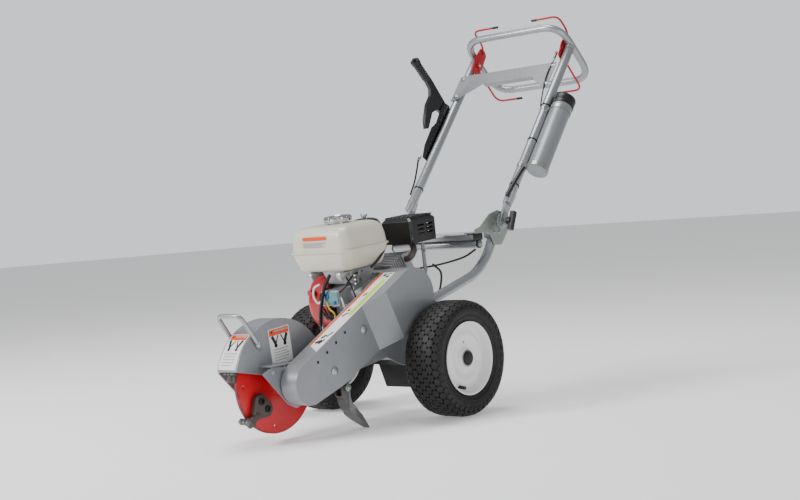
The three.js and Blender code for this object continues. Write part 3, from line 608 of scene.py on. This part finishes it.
DISC_RED = scuffed.set(Base_Color=scuffed.mix(rim_wear, tone, (0.10, 0.05, 0.045)),
                       Roughness=0.3 + 0.25 * streaks + 0.2 * rim_wear, Metallic=rim_wear * 0.6)
place(disc, "cutter_disc_bored", "cutter", DISC_RED, "red_paint", DISC, ("cutter_disc",), 30)
eased("cutter_shaft", "cutter", ALLOY, "engine_alloy", 1.5)
eased("driven_pulley", "cutter", ALLOY, "engine_alloy", 0.6)

# %% [markdown]
# A tooth pocket is a pear-shaped casting held by two socket screws, with a neck that carries a wide
# carbide-tipped tooth past the rim. One is modelled with soft cast edges, then turned to each place.


# %% Tooth pockets
def pocket():
    pear = [(128, 8), *circle(84, 14, 22, 12, 40, 190), *circle(84, -16, 21, 12, 180, 300), (118, -19),
            (128, -12)]
    body = sheet(pear, 17.5, SIDE_VIEW, 0)
    rounded(body, 5, 3, 50)
    body.data.transform(Matrix.Translation((5.3, 0, 0)))
    neck = block(6, 25, 112, 146, -11, 7, 4, 3)
    head = block(-7, 25.5, 142, 151, -15, 9, 2.5, 3)
    ring = drum(9.5, (9, 147, -14), (9, 147, 10), 24, 2)
    screws = []
    for y, z in ((84, 14), (84, -16)):
        screw = drum(9.5, (20, y, z), (27, y, z), 32, 1.2)
        screws.append(carved(screw, drum(5, (23, y, z), (35, y, z), 6, 0)))
    tips = [block(x, x + 11, 146, 160, -22.5, -9, 1.2) for x in (-10, 3, 16)]
    return joined([body, neck, head, ring]), joined(screws), joined(tips)


HALF = Matrix.Translation((8, 0, 0))
for i, (turn, side) in enumerate(((222, 1), (42, 1), (170, -1), (350, -1))):
    stand = DISC @ HALF @ Matrix.Rotation(math.radians(turn), 4, "X")
    for piece, name, finish in zip(pocket(), ("pocket", "pocket_screws", "tooth"), (CAST, DARK, STEEL)):
        if side < 0:
            flip(piece)
        covers = (f"tooth_pocket_{i + 1}",) if name == "pocket" else ()
        place(piece, f"{name}_{i + 1}", "cutter", finish, "cast_steel", stand, covers)

# %% [markdown]
# ## Sheet metal
# Folded sheet catches the light along its bends. The solids already have the right flats, so they
# are merged copies with every hard edge eased, in the machine's silver paint.

# %% Guards, plates and deck
eased("cutter_hood", "chassis", SILVER, "silver_paint", 1.4)
eased("belt_guard", "chassis", SILVER, "silver_paint", 2.2, angle=20)
for node, body, finish, slot, width in (
    ("guard_back_plate", "chassis", SILVER, "silver_paint", 0.8),
    ("side_plate_left", "chassis", SILVER, "silver_paint", 0.8),
    ("side_plate_right", "chassis", SILVER, "silver_paint", 0.8),
    ("engine_deck", "chassis", SILVER, "silver_paint", 0.8),
    ("front_tie_bar", "chassis", SILVER, "silver_paint", 0.6),
    ("drive_belt", "chassis", BELT, "belt", 1.5),
    ("flap_bar", "chassis", BLACK, "black_paint", 1.0),
    ("debris_flap", "debris_flap", FLAP, "flap_rubber", 1.2),
    ("prop_foot", "prop_foot", STEEL, "cast_steel", 2.0),
):
    eased(node, body, finish, slot, width)

# %% [markdown]
# Fasteners are small but they sell the scale: a domed carriage bolt is spun, a hexagon bolt is a
# six-sided bar on a washer, eased so that its corners glint.


# %% Fasteners
def hex_bolt(x, y, z, r, side=1):
    head = drum(r, (x, y, z), (x + side * r * 0.65, y, z), 6, 0.7)
    flat = drum(r * 1.3, (x - side * 0.4, y, z), (x + side * 1.6, y, z), 28, 0.3)
    core = drum(r * 0.55, (x, y, z), (x + side * r * 0.95, y, z), 20, 0.6)
    return joined([head, flat, core])


def dome_bolt(x, y, z, r):
    profile = [(0.01, 0), (r, 0), (r, 1.4), (r * 0.86, 3.4), (r * 0.55, 5.2), (0.01, 6)]
    return spun([(a, x + t) for a, t in [*profile, profile[0]]], (0, y, z), "X", 32)


bolts = [dome_bolt(150, -264, 276, 12), dome_bolt(150, -390, 178, 12)]
bolts += [hex_bolt(88.8, -515, 200, 6.5), hex_bolt(88.8, -556, 196, 6.5), hex_bolt(136, -328, 124, 8)]
right_bolts = ((-515, 150), (-443, 150), (-515, 190), (-120, 215), (-300, 205))
bolts += [hex_bolt(-88.8, y, z, 6.5, -1) for y, z in right_bolts]
bolts += [hex_bolt(90.5, y, z, 6) for y, z in ((36, 312), (88, 470))]
place(joined(bolts), "frame_bolts", "chassis", ZINC, "zinc")

# %% Hood handle
grip = bar([(45.5, -560, 262), (49, -566, 270), (49, -622, 350), (-41, -622, 350), (-41, -566, 270),
            (-37.5, -560, 262)], 6, 22, 16)
place(grip, "hood_handle_bar", "chassis", TUBE, "tube_paint", GROUND, ("hood_handle",))
beads = joined([drum(8.5, (x, -560, 262), (x, -568, 273), 20, 2.5) for x in (47, -39)])
place(beads, "hood_handle_welds", "chassis", TUBE, "tube_paint")

# %% [markdown]
# Safety signs are printed film. Each is built in layers a fraction of a millimetre thick: white
# ground, orange header, plain black pictograms and grey bars in place of any wording.


# %% Sign makers
def frame_of(origin, across_axis, up_axis):
    u, v = Vector(across_axis).normalized(), Vector(up_axis).normalized()
    n = u.cross(v)
    return Matrix.Translation(origin) @ Matrix((u, v, n)).transposed().to_4x4()


def strip(u0, u1, v0, v1):
    return [(u0, v0), (u1, v0), (u1, v1), (u0, v1)]


def limb(a, b, w):
    d = (Vector(b) - Vector(a)).normalized() * w / 2
    n = Vector((-d.y, d.x))
    a, b = Vector(a), Vector(b)
    return [tuple(p) for p in (a - n, b - n, b + n, a + n)]


def warning_marks(w, h):
    """Outlines of a generic hand-and-blade and foot-and-blade sign, in a box w wide and h high."""
    triangle = [(-w * 0.40, h * 0.385), (-w * 0.28, h * 0.385), (-w * 0.34, h * 0.46)]
    marks = [triangle]
    for x, lean in ((-w * 0.22, 1), (w * 0.22, -1)):
        marks.append(limb((x - lean * w * 0.14, h * 0.30), (x, h * 0.08), w * 0.12))
        marks.append(limb((x + lean * w * 0.16, h * 0.30), (x - lean * w * 0.02, h * 0.02), w * 0.05))
        marks.append(circle(x, h * 0.03, w * 0.075, 12))
    words = [strip(-w * 0.36, w * k, -h * (0.10 + 0.075 * i), -h * (0.075 + 0.075 * i))
             for i, k in enumerate((0.36, 0.28, 0.36, 0.33, 0.20))]
    header = [strip(-w * 0.2, w * 0.40, h * 0.40, h * 0.445)]
    return marks, words + header


GREY = coated("grey sign print", (0.34, 0.34, 0.35), 0.0, 0.45, 500, 0.00002, 0.05)


def sign(name, w, h, to, bend=None):
    """A sign in film layers, lying in the plane of `to`, or rolled down to the radius `bend`."""
    marks, words = warning_marks(w, h)
    layers = (("white", PAPER, [strip(-w / 2, w / 2, -h / 2, h / 2)], 0.1, 0.25),
              ("orange", ORANGE, [strip(-w * 0.47, w * 0.47, h * 0.31, h * 0.48)], 0.3, 0.2),
              ("black", INK, marks, 0.45, 0.2), ("print", GREY, words, 0.45, 0.15))
    for layer, finish, outlines, lift, thick in layers:
        shape = joined([sheet(o, thick, Matrix.Translation((0, 0, lift))) for o in outlines])
        if bend:
            alone(shape)
            bpy.ops.object.mode_set(mode="EDIT")
            for k in range(1, 16):
                cut = -h / 2 + h * k / 16
                bpy.ops.mesh.select_all(action="SELECT")
                bpy.ops.mesh.bisect(plane_co=(0, cut, 0), plane_no=(0, 1, 0))
            bpy.ops.object.mode_set(mode="OBJECT")
            for corner in shape.data.vertices:
                angle, r = -corner.co.y / bend, bend + corner.co.z
                corner.co = (corner.co.x, r * math.sin(-angle), r * math.cos(angle) - bend)
        slot = "silver_paint" if layer == "white" else "black_paint"
        place(shape, f"{name}_{layer}", "chassis", finish, slot, GROUND @ to, (), 20)


sign("hood_side_sign", 77, 97, frame_of((42.1, -478.7, 257.5), (0, 1, 0.106), (0, -0.106, 1)))
HOOD_R = 170.2
turn = math.radians(144.5)
lie = frame_of((3.6, -479 + HOOD_R * math.cos(turn), 160 + HOOD_R * math.sin(turn)), (1, 0, 0),
               (0, math.sin(turn), -math.cos(turn)))
sign("hood_band_sign", 66, 107, lie, HOOD_R)

# %% Stripes along the belt guard
TOP = frame_of((0, -506.9, 207.8), (1, 0, 0), (0, 0.8778, 0.479))
for name, finish, outlines, lift in (
    ("guard_stripe_white", PAPER, [[(107, 86), (149, 62), (149, 446), (107, 446)]], 0.1),
    ("guard_stripe_orange", ORANGE, [[(98, 91), (107, 86), (107, 446), (98, 446)]], 0.1),
    ("guard_stripe_lime", LIME, [strip(131, 144, 232, 412), strip(128, 130, 236, 408)], 0.35),
    ("guard_stripe_black", INK, [limb((114, 100), (130, 112), 12), limb((128, 96), (136, 118), 6),
                                 limb((118, 122), (126, 138), 8), limb((132, 130), (140, 152), 6),
                                 limb((114, 226), (124, 244), 7), circle(118, 256, 5, 14),
                                 limb((116, 326), (122, 342), 6), circle(136, 424, 6, 14),
                                 circle(122, 432, 6, 14), limb((130, 436), (144, 440), 5)], 0.35),
):
    shape = joined([sheet(o, 0.3, Matrix.Translation((0, 0, lift))) for o in outlines])
    place(shape, name, "chassis", finish, "silver_paint", GROUND @ TOP)

# %% [markdown]
# ## Engine
# A small horizontal-shaft petrol engine, drawn upright and then tipped with its matrix. The tank is
# the largest soft form: a rounded plane is extruded and scaled ring by ring, which gives the
# moulded shoulders and the welded seam as real geometry.

# %% Fuel tank
FUEL_CAP = (-35, -41, 0)
AIR_CLEANER = (-78, 118, 0)


def moulded(cx, cy, sections, corner):
    """A rounded rectangle extruded upwards through sections of (height, half width, half depth)."""
    z, hx, hy = sections[0]
    bpy.ops.object.select_all(action="DESELECT")
    bpy.ops.mesh.primitive_plane_add(size=2)
    piece = bpy.context.object
    piece.data.transform(Matrix.Translation((cx, cy, z)) @ Matrix.Diagonal((hx, hy, 1, 1)))
    bpy.ops.object.mode_set(mode="EDIT")
    bpy.ops.mesh.select_all(action="SELECT")
    bpy.ops.mesh.bevel(offset=corner, segments=9, affect="VERTICES")
    for nz, nx, ny in sections[1:]:
        bpy.ops.mesh.extrude_region_move(TRANSFORM_OT_translate={"value": (0, 0, nz - z)})
        bpy.ops.transform.resize(value=(nx / hx, ny / hy, 1), center_override=(cx, cy, nz))
        z, hx, hy = nz, nx, ny
    bpy.ops.mesh.select_all(action="SELECT")
    bpy.ops.mesh.normals_make_consistent(inside=False)
    bpy.ops.object.mode_set(mode="OBJECT")
    return piece


tank = moulded(-35, -48, [
    (101, 82, 68), (102, 89, 75), (105, 95, 80), (112, 100, 85), (140, 109, 94), (156, 112.5, 97.5),
    (157.5, 113, 98), (158, 118, 102.4), (162, 118, 102.4), (162.5, 113, 98), (166, 113, 98), (190, 111, 96),
    (206, 108, 93), (216, 104, 89), (223, 98, 83), (228, 89, 74), (230.6, 78, 63), (231, 62, 50)], 22)
place(tank, "fuel_tank_moulded", "chassis", CREAM, "tank_cream", ENGINE, ("fuel_tank",), 40)
neck = spun([(30, 228), (44, 228), (44, 230.6), (42, 231.6), (30, 231.6), (30, 228)], FUEL_CAP, "Z", 48)
place(neck, "tank_neck", "chassis", CREAM, "tank_cream", ENGINE)
cap = spun([(0.01, 231.8), (27, 231.8), (27, 236), (39, 236), (39.5, 238), (39, 249.5), (36, 253), (24, 254),
            (22, 252.5), (0.01, 252.5), (0.01, 231.8)], FUEL_CAP, "Z", 72)
rib = block(2.6, 6.4, -46.4, -35.6, 238, 250.5, 1.6)
ribs = repeated(rib, 12, FUEL_CAP, "Z")
place(joined([cap, ribs]), "fuel_cap_ribbed", "fuel_cap", CHROME, "chrome", ENGINE, ("fuel_cap",))
label = frame_of((-40, -145.4, 189), (1, 0, 0), (0, 0.1, 1))
for name, finish, outlines in (
    ("tank_sign_orange", ORANGE, [strip(-46, 46, 6, 16)]),
    ("tank_sign_print", GREY, [strip(-46, k, -3 - 5 * i, -1 - 5 * i) for i, k in enumerate((44, 30, 40))]),
):
    shape = joined([sheet(o, 0.6, Matrix.Translation((0, 0, 0.2))) for o in outlines])
    place(shape, name, "chassis", finish, "black_paint", ENGINE @ label)

# %% [markdown]
# The air cleaner is a ribbed black pot under a wing nut, spun from its section. The muffler hides
# behind a louvred black guard.

# %% Air cleaner and muffler guard
pot = [(0.01, 150.2), (46, 150.2), (48, 152), (50, 160), (51.5, 162), (51.5, 166), (50, 168), (50, 176),
       (51.5, 178), (51.5, 182), (50, 184), (50, 196), (47, 210), (40, 220), (28, 225), (20, 226.5),
       (0.01, 227)]
pot = spun([*pot, pot[0]], AIR_CLEANER, "Z", 64)
wing = [drum(6.5, (-78, 118, 226), (-78, 118, 236), 24, 1.5)]
for lean in (-1, 1):
    ear = drum(4.8, (-78, 117, 0), (-78, 119.4, 0), 20, 0.8)
    ear.data.transform(Matrix.Translation((lean * 9.5, 0, 236)))
    wing.append(ear)
place(pot, "air_cleaner_pot", "chassis", PLASTIC, "black_plastic", ENGINE, ("air_cleaner",))
place(joined(wing), "cleaner_wing_nut", "chassis", ZINC, "zinc", ENGINE)
eased("carburettor", "chassis", ALLOY, "engine_alloy", 3.0)
eased("muffler_guard", "chassis", BLACK, "black_paint", 1.2)
ridges = [block(-8 + 16 * i, 0 + 16 * i, 132, 228, 215.5, 220.5, 1.8) for i in range(7)]
place(joined(ridges), "muffler_guard_ridges", "chassis", BLACK, "black_paint", ENGINE)
eased("muffler", "chassis", CAST, "cast_steel", 1.5)

# %% [markdown]
# The flywheel fan is housed in a red cowl with a pressed recoil starter. Slots are cut through the
# dome so that the black screen behind shows.

# %% Fan cover and starter
cowl = spun([(0.01, -158), (60, -158), (80, -153.5), (93, -147), (98, -139), (99.5, -130), (99.5, -70),
             (96.5, -70), (96.5, -129), (95, -137), (91, -144), (79, -150.5), (60, -155), (0.01, -155),
             (0.01, -158)], (0, 0, 0), "X", 80)
dome = spun([(20, -157), (76, -157), (76, -159), (73.5, -166), (69, -170.5), (42, -174), (20, -174),
             (20, -171.5), (42, -171.5), (67, -168.3), (71, -164.5), (73, -157.4), (20, -157.4), (20, -157)],
            (0, 0, 0), "X", 80)
slots = repeated(block(-180, -160, -3.2, 3.2, 46, 64, 1.5), 18, (0, 0, 0), "X")
hub = band(0.01, 22, -174, -160, (0, 0, 0), "X", 40)
place(joined([cowl, carved(dome, slots), hub]), "fan_cover_pressed", "chassis", RED,
      "red_paint", ENGINE, ("fan_cover",), 30)
screen = band(20, 66, -160, -159, (0, 0, 0), "X", 40)
place(screen, "starter_screen", "chassis", DARK, "black_paint", ENGINE)
cowl_bolts = [hex_bolt(-152, 84 * math.cos(a), 84 * math.sin(a), 5, -1) for a in (0.9, 2.3, 4.0, 5.4)]
place(joined(cowl_bolts), "fan_cover_bolts", "chassis", ZINC, "zinc", ENGINE)
for node, body, finish, slot, width in (
    ("starter_grip", "starter_grip", PLASTIC, "black_plastic", 2.6),
    ("engine_switch", "engine_switch", RED, "red_paint", 1.6),
    ("flywheel", "crank", ALLOY, "engine_alloy", 1.0),
    ("clutch_pulley", "crank", ALLOY, "engine_alloy", 0.8),
    ("crankcase", "chassis", ALLOY, "engine_alloy", 2.5),
    ("cylinder", "chassis", ALLOY, "engine_alloy", 0.5),
):
    eased(node, body, finish, slot, width)

# %% [markdown]
# Between the tank and the crankcase sits the tangle that makes an engine look real: a control box,
# coil, leads in black, white and yellow, a blue plug, link rods and springs.

# %% Control box, coil and leads
extras = [
    (block(-58, 6, -127, -122, 5, 43, 2.0), "control_cover", TEAL, "black_plastic"),
    (joined([block(-44, -28, -130, -126, 24, 38, 2.0), drum(5, (-8, -131, 12), (-8, -126, 12), 16, 1.0)]),
     "control_blue", BLUE, "black_plastic"),
    (block(-68, -46, -100, -74, -42, -8, 4.0), "ignition_coil", DARK, "black_plastic"),
    (drum(7, (-6, -102, -18), (14, -102, -22), 20, 2), "lead_plug", BLUE, "black_plastic"),
    (joined([drum(9, (30, -93, -84), (30, -104, -84), 6, 1.5), block(27, 33, -116, -102, -92, -76, 2.0)]),
     "oil_plug", PLASTIC, "black_plastic"),
    (joined([drum(4.5, (52, -98, 60 + 12 * i), (60, -98, 60 + 12 * i), 6, 0.6) for i in range(3)]),
     "bracket_screws", ZINC, "zinc"),
    (joined([sheet([(-104, 40), (-70, 48), (-62, 96), (-76, 98), (-86, 58), (-106, 50)], 2.5,
                   Matrix.Translation((50, 0, 0)) @ SIDE_VIEW, 0.6),
             bar([(56, -92, 86), (56, -60, 60), (56, -10, 74)], 1.8, 8)]),
     "governor_arm", ZINC, "zinc"),
]
for i, (points, finish) in enumerate((
    ([(-4, -104, -18), (-30, -118, -30), (-52, -108, -10), (-50, -112, 30), (-66, -100, 60)], INK),
    ([(14, -102, -22), (40, -108, -20), (52, -100, 10), (44, -104, 50), (20, -96, 80)], INK),
    ([(10, -104, -22), (34, -116, -40), (56, -104, -50), (62, -96, -10)], YELLOW),
    ([(2, -112, 30), (18, -122, 14), (24, -120, -14), (10, -108, -20)], PAPER),
    ([(-60, -100, 50), (-84, -104, 30), (-88, -104, -10), (-70, -100, -40), (-56, -92, -30)], INK),
    ([(4, -118, 38), (26, -110, 56), (40, -90, 82), (52, -60, 92)], INK),
)):
    extras.append((cable(points, 2.6), f"engine_lead_{i + 1}", finish, "black_plastic"))
for i, (points, finish, r) in enumerate((
    ([(-16, -124, 92), (-34, -133, 60), (-52, -137, 10), (-70, -132, -36), (-84, -116, -84)], INK, 5.0),
    ([(-58, -128, 66), (-76, -134, 56), (-82, -134, 32), (-70, -132, 12), (-58, -128, 18)], PAPER, 3.2),
    ([(-38, -130, 16), (-24, -136, -4), (-8, -134, -20), (-18, -130, -46), (-44, -126, -56)], YELLOW, 2.4),
    ([(-52, -130, -4), (-34, -134, -30), (-6, -128, -42), (24, -116, -30)], INK, 3.4),
    ([(-70, -122, -20), (-72, -124, -60), (-60, -116, -92)], GREY, 4.0),
)):
    extras.append((cable(points, r), f"engine_harness_{i + 1}", finish, "black_plastic"))
boot = cable([(60, -30, 96), (70, 0, 120), (64, 40, 150), (40, 60, 166)], 4.0)
extras.append((boot, "plug_lead", INK, "black_plastic"))
for piece, name, finish, slot in extras:
    place(piece, name, "chassis", finish, slot, ENGINE)
for i, x in enumerate((-98, 16)):
    arm = sheet([(-132, 97), (-60, 97), (-60, 90), (-112, 84), (-126, 74), (-134, 90)], 16,
                Matrix.Translation((x, 0, 0)) @ SIDE_VIEW, 1.2)
    place(arm, f"tank_bracket_{i + 1}", "chassis", ALLOY, "engine_alloy", ENGINE)
base_bolts = [drum(6, (x, y, -97), (x, y, -90.5), 6, 0.7) for x in (-56, 66) for y in (-84, 84)]
place(joined(base_bolts), "engine_base_bolts", "chassis", ZINC, "zinc", ENGINE)

# %% [markdown]
# ## Rear frame and handle
# Bent tubes are swept bars with turned corners; the clamp at the pivot is plated steel with toothed
# discs, and each tube ends in a plain box.

# %% Rear frame
FRAME_X = 165
for side, word in ((1, "left"), (-1, "right")):
    tube = bar([(side * FRAME_X, 13, 328.4), (side * FRAME_X, 232, 388), (side * FRAME_X, 300, 440),
                (side * FRAME_X, 331, 497)], 15, 36, 24)
    foot = block(*sorted((side * 148, side * 180)), 308, 352, 492, 528, 3)
    place(joined([tube, foot]), f"frame_tube_{word}_bent", "chassis", TUBE, "tube_paint", GROUND,
          (f"frame_tube_{word}",))
    eased(f"pivot_bracket_{word}", "chassis", ZINC, "zinc", 1.0)
    eased(f"clamp_knob_{word}", f"clamp_knob_{word}", PLASTIC, "black_plastic", 2.6)
rods = joined([block(-168, 168, 232, 272, 491.4, 510.4, 3),
               drum(13, (-168, 256, 479), (168, 256, 479), 40, 1)])
place(rods, "cross_bars_rolled", "chassis", TUBE, "tube_paint", GROUND, ("cross_bars",))
plugs = []
for side in (-1, 1):
    plugs.append(block(*sorted((side * 167.5, side * 172)), 230, 274, 489.8, 511.2, 1.5))
    plugs.append(drum(14, (side * 167.5, 256, 479), (side * 172, 256, 479), 32, 1.2))
place(joined(plugs), "cross_bar_plugs", "chassis", PLASTIC, "black_plastic")
ends = [hex_bolt(side * 171.5, 256, 479, 7, side) for side in (-1, 1)]
ends += [hex_bolt(side * 179.6, y, 510, 6.5, side) for side in (-1, 1) for y in (318, 342)]
place(joined(ends), "cross_bar_bolts", "chassis", ZINC, "zinc")
tail = drum(15, (-183, 34, 302.7), (183, 34, 302.7), 40, 1)
place(tail, "rear_cross_tube_round", "chassis", TUBE, "tube_paint", GROUND, ("rear_cross_tube",))
for name, points in (
    ("throttle_cable", [(150, 262, 462), (110, 250, 440), (60, 200, 424), (40, 120, 418)]),
    ("brake_cable_lower", [(104, 108, 430), (116, 130, 400), (112, 118, 340), (100, 96, 290)]),
):
    place(cable(points, 3.2), name + "_sleeve", "chassis", PLASTIC, "black_plastic", GROUND, (name,))

# %% Handle tubes with their toothed feet
GRIP_X, GRIP_Y = 198.8, -22  # the tubes' place in the handle's own frame
LEVER_X = 176.9
BORE_R = 6.3
BRAKE_X = -226.3
CANISTER = (246.8, -3, 0)
for side, word in ((1, "left"), (-1, "right")):
    tube = drum(15, (GRIP_X, GRIP_Y, 50), (GRIP_X, GRIP_Y, 697), 48, 0.6)
    disc = drum(26, (183.7, 0, 0), (188.6, 0, 0), 48, 0.8)
    teeth = repeated(block(183.7, 188.6, -1.7, 1.7, 23, 26.9, 0.5, 1), 30, (0, 0, 0), "X")
    tongue = sheet([*circle(0, 0, 19, 16, -160, 20), (4, 30), (-4, 62), (-30, 62)], 8,
                   Matrix.Translation((187.7, 0, 0)) @ SIDE_VIEW, 1)
    bore = drum(BORE_R, (180, 0, 0), (200, 0, 0), 24, 0)
    shoe = moulded(0, 0, [(26, 3.6, 15), (50, 4.4, 16), (66, 8, 16), (88, 13.5, 15)], 3.4)
    slant = Matrix(((1, 0, 0.115, 188.6), (0, 1, -0.2, -4.0), (0, 0, 1, 0), (0, 0, 0, 1)))
    shoe.data.transform(slant)
    hub = joined([carved(disc, bore), teeth])
    bead = drum(17, (GRIP_X, GRIP_Y, 690), (GRIP_X, -20, 700), 32, 3)
    whole = joined([tube, hub, carved(tongue, drum(BORE_R, (180, 0, 0), (200, 0, 0), 24, 0)), shoe, bead])
    if side < 0:
        flip(whole)
    place(whole, f"handle_tube_{word}_drawn", "handle", TUBE, "tube_paint", HANDLE, (f"handle_tube_{word}",))

# %% Loop handle and cross plate
loop = bar([(GRIP_X, 0, 0), (GRIP_X, 151, 0), (-GRIP_X, 151, 0), (-GRIP_X, -89, 0), (GRIP_X, -89, 0),
            (GRIP_X, 0, 0)], 12, 75, 24)
loop.data.transform(Matrix.Translation((0, -19, 711)) @ Matrix.Rotation(math.radians(-4.8), 4, "X"))
place(loop, "loop_handle", "handle", TUBE, "tube_paint", HANDLE, ("ring_handle",))
eased("cross_plate", "handle", SILVER, "silver_paint", 1.2)
screws = []
for x, z in ((-GRIP_X, 606), (-GRIP_X, 528), (174, 606), (174, 528)):
    screw = drum(6.5, (x, -40.1, z), (x, -44.5, z), 6, 0.7)
    screws.append(joined([screw, drum(9, (x, -40.1, z), (x, -41.7, z), 24, 0.4)]))
place(joined(screws), "cross_plate_screws", "handle", ZINC, "zinc", HANDLE)

# %% [markdown]
# The squeeze levers are thin red plates with bent rods that follow the loop. The rods carry black
# rubber tips, and a plated clevis on the near one pulls the clutch cable.

# %% Squeeze levers
for side, word in ((1, "left"), (-1, "right")):
    outline = [(-40, 652), (-6, 646), (2, 690), (-4, 742), (-20, 752), (-44, 744), (-50, 700)]
    plate = sheet(outline, 4, Matrix.Translation((LEVER_X, 0, 0)) @ SIDE_VIEW, 1.4)
    front = bar([(LEVER_X, -28, 742), (LEVER_X, -34, 758), (LEVER_X, -108, 764), (72, -108, 764)],
                3.5, 26, 12)
    rear = bar([(LEVER_X, -12, 669), (LEVER_X, 20, 663), (LEVER_X, 132, 651), (72, 132, 651)], 3.5, 30, 12)
    boss = drum(9, (168.9, -22, 682), (178, -22, 682), 32, 1.2)
    tips = joined([drum(4.3, (70.4, y, z), (92, y, z), 16, 1.4) for y, z in ((-108, 764), (132, 651))])
    pin = joined([drum(4, (165.5, -22, 682), (170, -22, 682), 6, 0.5),
                  drum(6, (168, -22, 682), (169.4, -22, 682), 24)])
    for piece, name, finish, slot, covers in (
        (joined([plate, front, rear, boss]), "squeeze_lever_pressed", RED, "red_paint",
         f"squeeze_lever_{word}"),
        (tips, "lever_tips", PLASTIC, "black_plastic", None),
        (pin, "lever_pin", ZINC, "zinc", None),
    ):
        if side < 0:
            flip(piece)
        place(piece, f"{name}_{word}", f"squeeze_lever_{word}", finish, slot, HANDLE,
              (covers,) if covers else ())

link = joined([block(166, 171, -46, -36, 640, 668, 1.2), drum(3, (162, -41, 664), (174, -41, 664), 12, 0.6),
               drum(3.4, (168.5, -41, 618), (168.5, -41, 640), 12, 0.6)])
place(link, "clutch_clevis", "handle", ZINC, "zinc", HANDLE)
wire = cable([(168.5, -41, 620), (169, -44, 560), (180, -43, 490), (190, -37.6, 432)], 2.2)
place(wire, "clutch_cable", "handle", PLASTIC, "black_plastic", HANDLE)

# %% Storage canister
can = spun([(0.01, 186), (31, 186), (33.5, 188), (33.5, 194), (32.9, 196), (32.9, 440), (33.5, 444),
            (33.5, 458), (0.01, 458), (0.01, 186)], CANISTER, "Z", 64)
place(can, "canister_can", "handle", SILVER, "silver_paint", HANDLE, ("canister",))
lid = spun([(33.8, 448), (36, 448), (36, 452), (35.2, 454), (35.2, 462), (36, 464), (36, 480), (34, 484),
            (29, 486), (0.01, 486), (0.01, 468.3), (33.8, 468.3), (33.8, 448)], CANISTER, "Z", 64)
place(lid, "canister_lid", "canister_cap", PLASTIC, "black_plastic", HANDLE, ("canister_cap",))
straps = []
for z in (196, 430):
    straps.append(band(33.6, 35.2, z - 7, z + 7, CANISTER, "Z", 48))
    straps.append(band(15.2, 16.8, z - 7, z + 7, (GRIP_X, GRIP_Y, 0), "Z", 36))
    straps.append(block(211, 219, -21, -10, z - 7, z + 7, 1.2))
    straps.append(drum(4, (207, -41, z), (207, -34, z), 6, 0.5))
place(joined(straps), "canister_straps", "handle", ZINC, "zinc", HANDLE)

# %% Park brake
eased("brake_bracket", "handle", BLACK, "black_paint", 1.2)
eased("brake_lever", "brake_lever", BLACK, "black_paint", 2.0)
eased("brake_button", "brake_button", PLASTIC, "black_plastic", 1.2)
grooves = []
lean = Matrix.Rotation(math.radians(-7), 4, "X")
for i in range(7):
    y = -176 - 9 * i
    z = 501 + (166 + y) * -0.1218
    grooves.append(spun([(12.4, -2), (14.2, -1), (14.2, 1), (12.4, 2), (12.4, -2)], (0, 0, 0), "Y", 32))
    grooves[-1].data.transform(Matrix.Translation((BRAKE_X, y, z)) @ lean)
place(joined(grooves), "brake_grip_rings", "brake_lever", PLASTIC, "black_plastic", HANDLE)
brake_screws = [hex_bolt(-219.2, y, z, 6, -1) for y, z in ((-30, 300), (-44, 392), (-26, 452))]
place(joined(brake_screws), "brake_screws", "handle", ZINC, "zinc", HANDLE)
adjuster = joined([drum(5, (-217, -60, 234), (-217, -60, 256), 6, 0.8),
                   drum(7, (-217, -60, 243), (-217, -60, 248), 6)])
place(adjuster, "brake_adjuster", "handle", ZINC, "zinc", HANDLE)
sleeve = cable([(-217, -60, 254), (-217, -62, 240), (-215, -52, 206), (-213, -40, 160), (-212.5, -34, 110)],
               3)
place(sleeve, "brake_cable_sleeve", "handle", PLASTIC, "black_plastic", HANDLE, ("brake_cable_upper",))
conduit = cable([(214, -30, 186), (212, -36, 150), (208, -40, 100), (204, -41, 66)], 6.5)
place(conduit, "tube_conduit", "handle", PLASTIC, "black_plastic", HANDLE)
ties = []
for x, z in ((GRIP_X, 442), (GRIP_X, 300), (-GRIP_X, 140), (GRIP_X, 120)):
    ties.append(band(15.1, 16.5, z - 2, z + 2, (x, GRIP_Y, 0), "Z", 32))
    ties.append(block(x - 3, x + 3, -41, -36, z - 3, z + 3, 0.8))
place(joined(ties), "cable_ties", "handle", PLASTIC, "black_plastic", HANDLE)
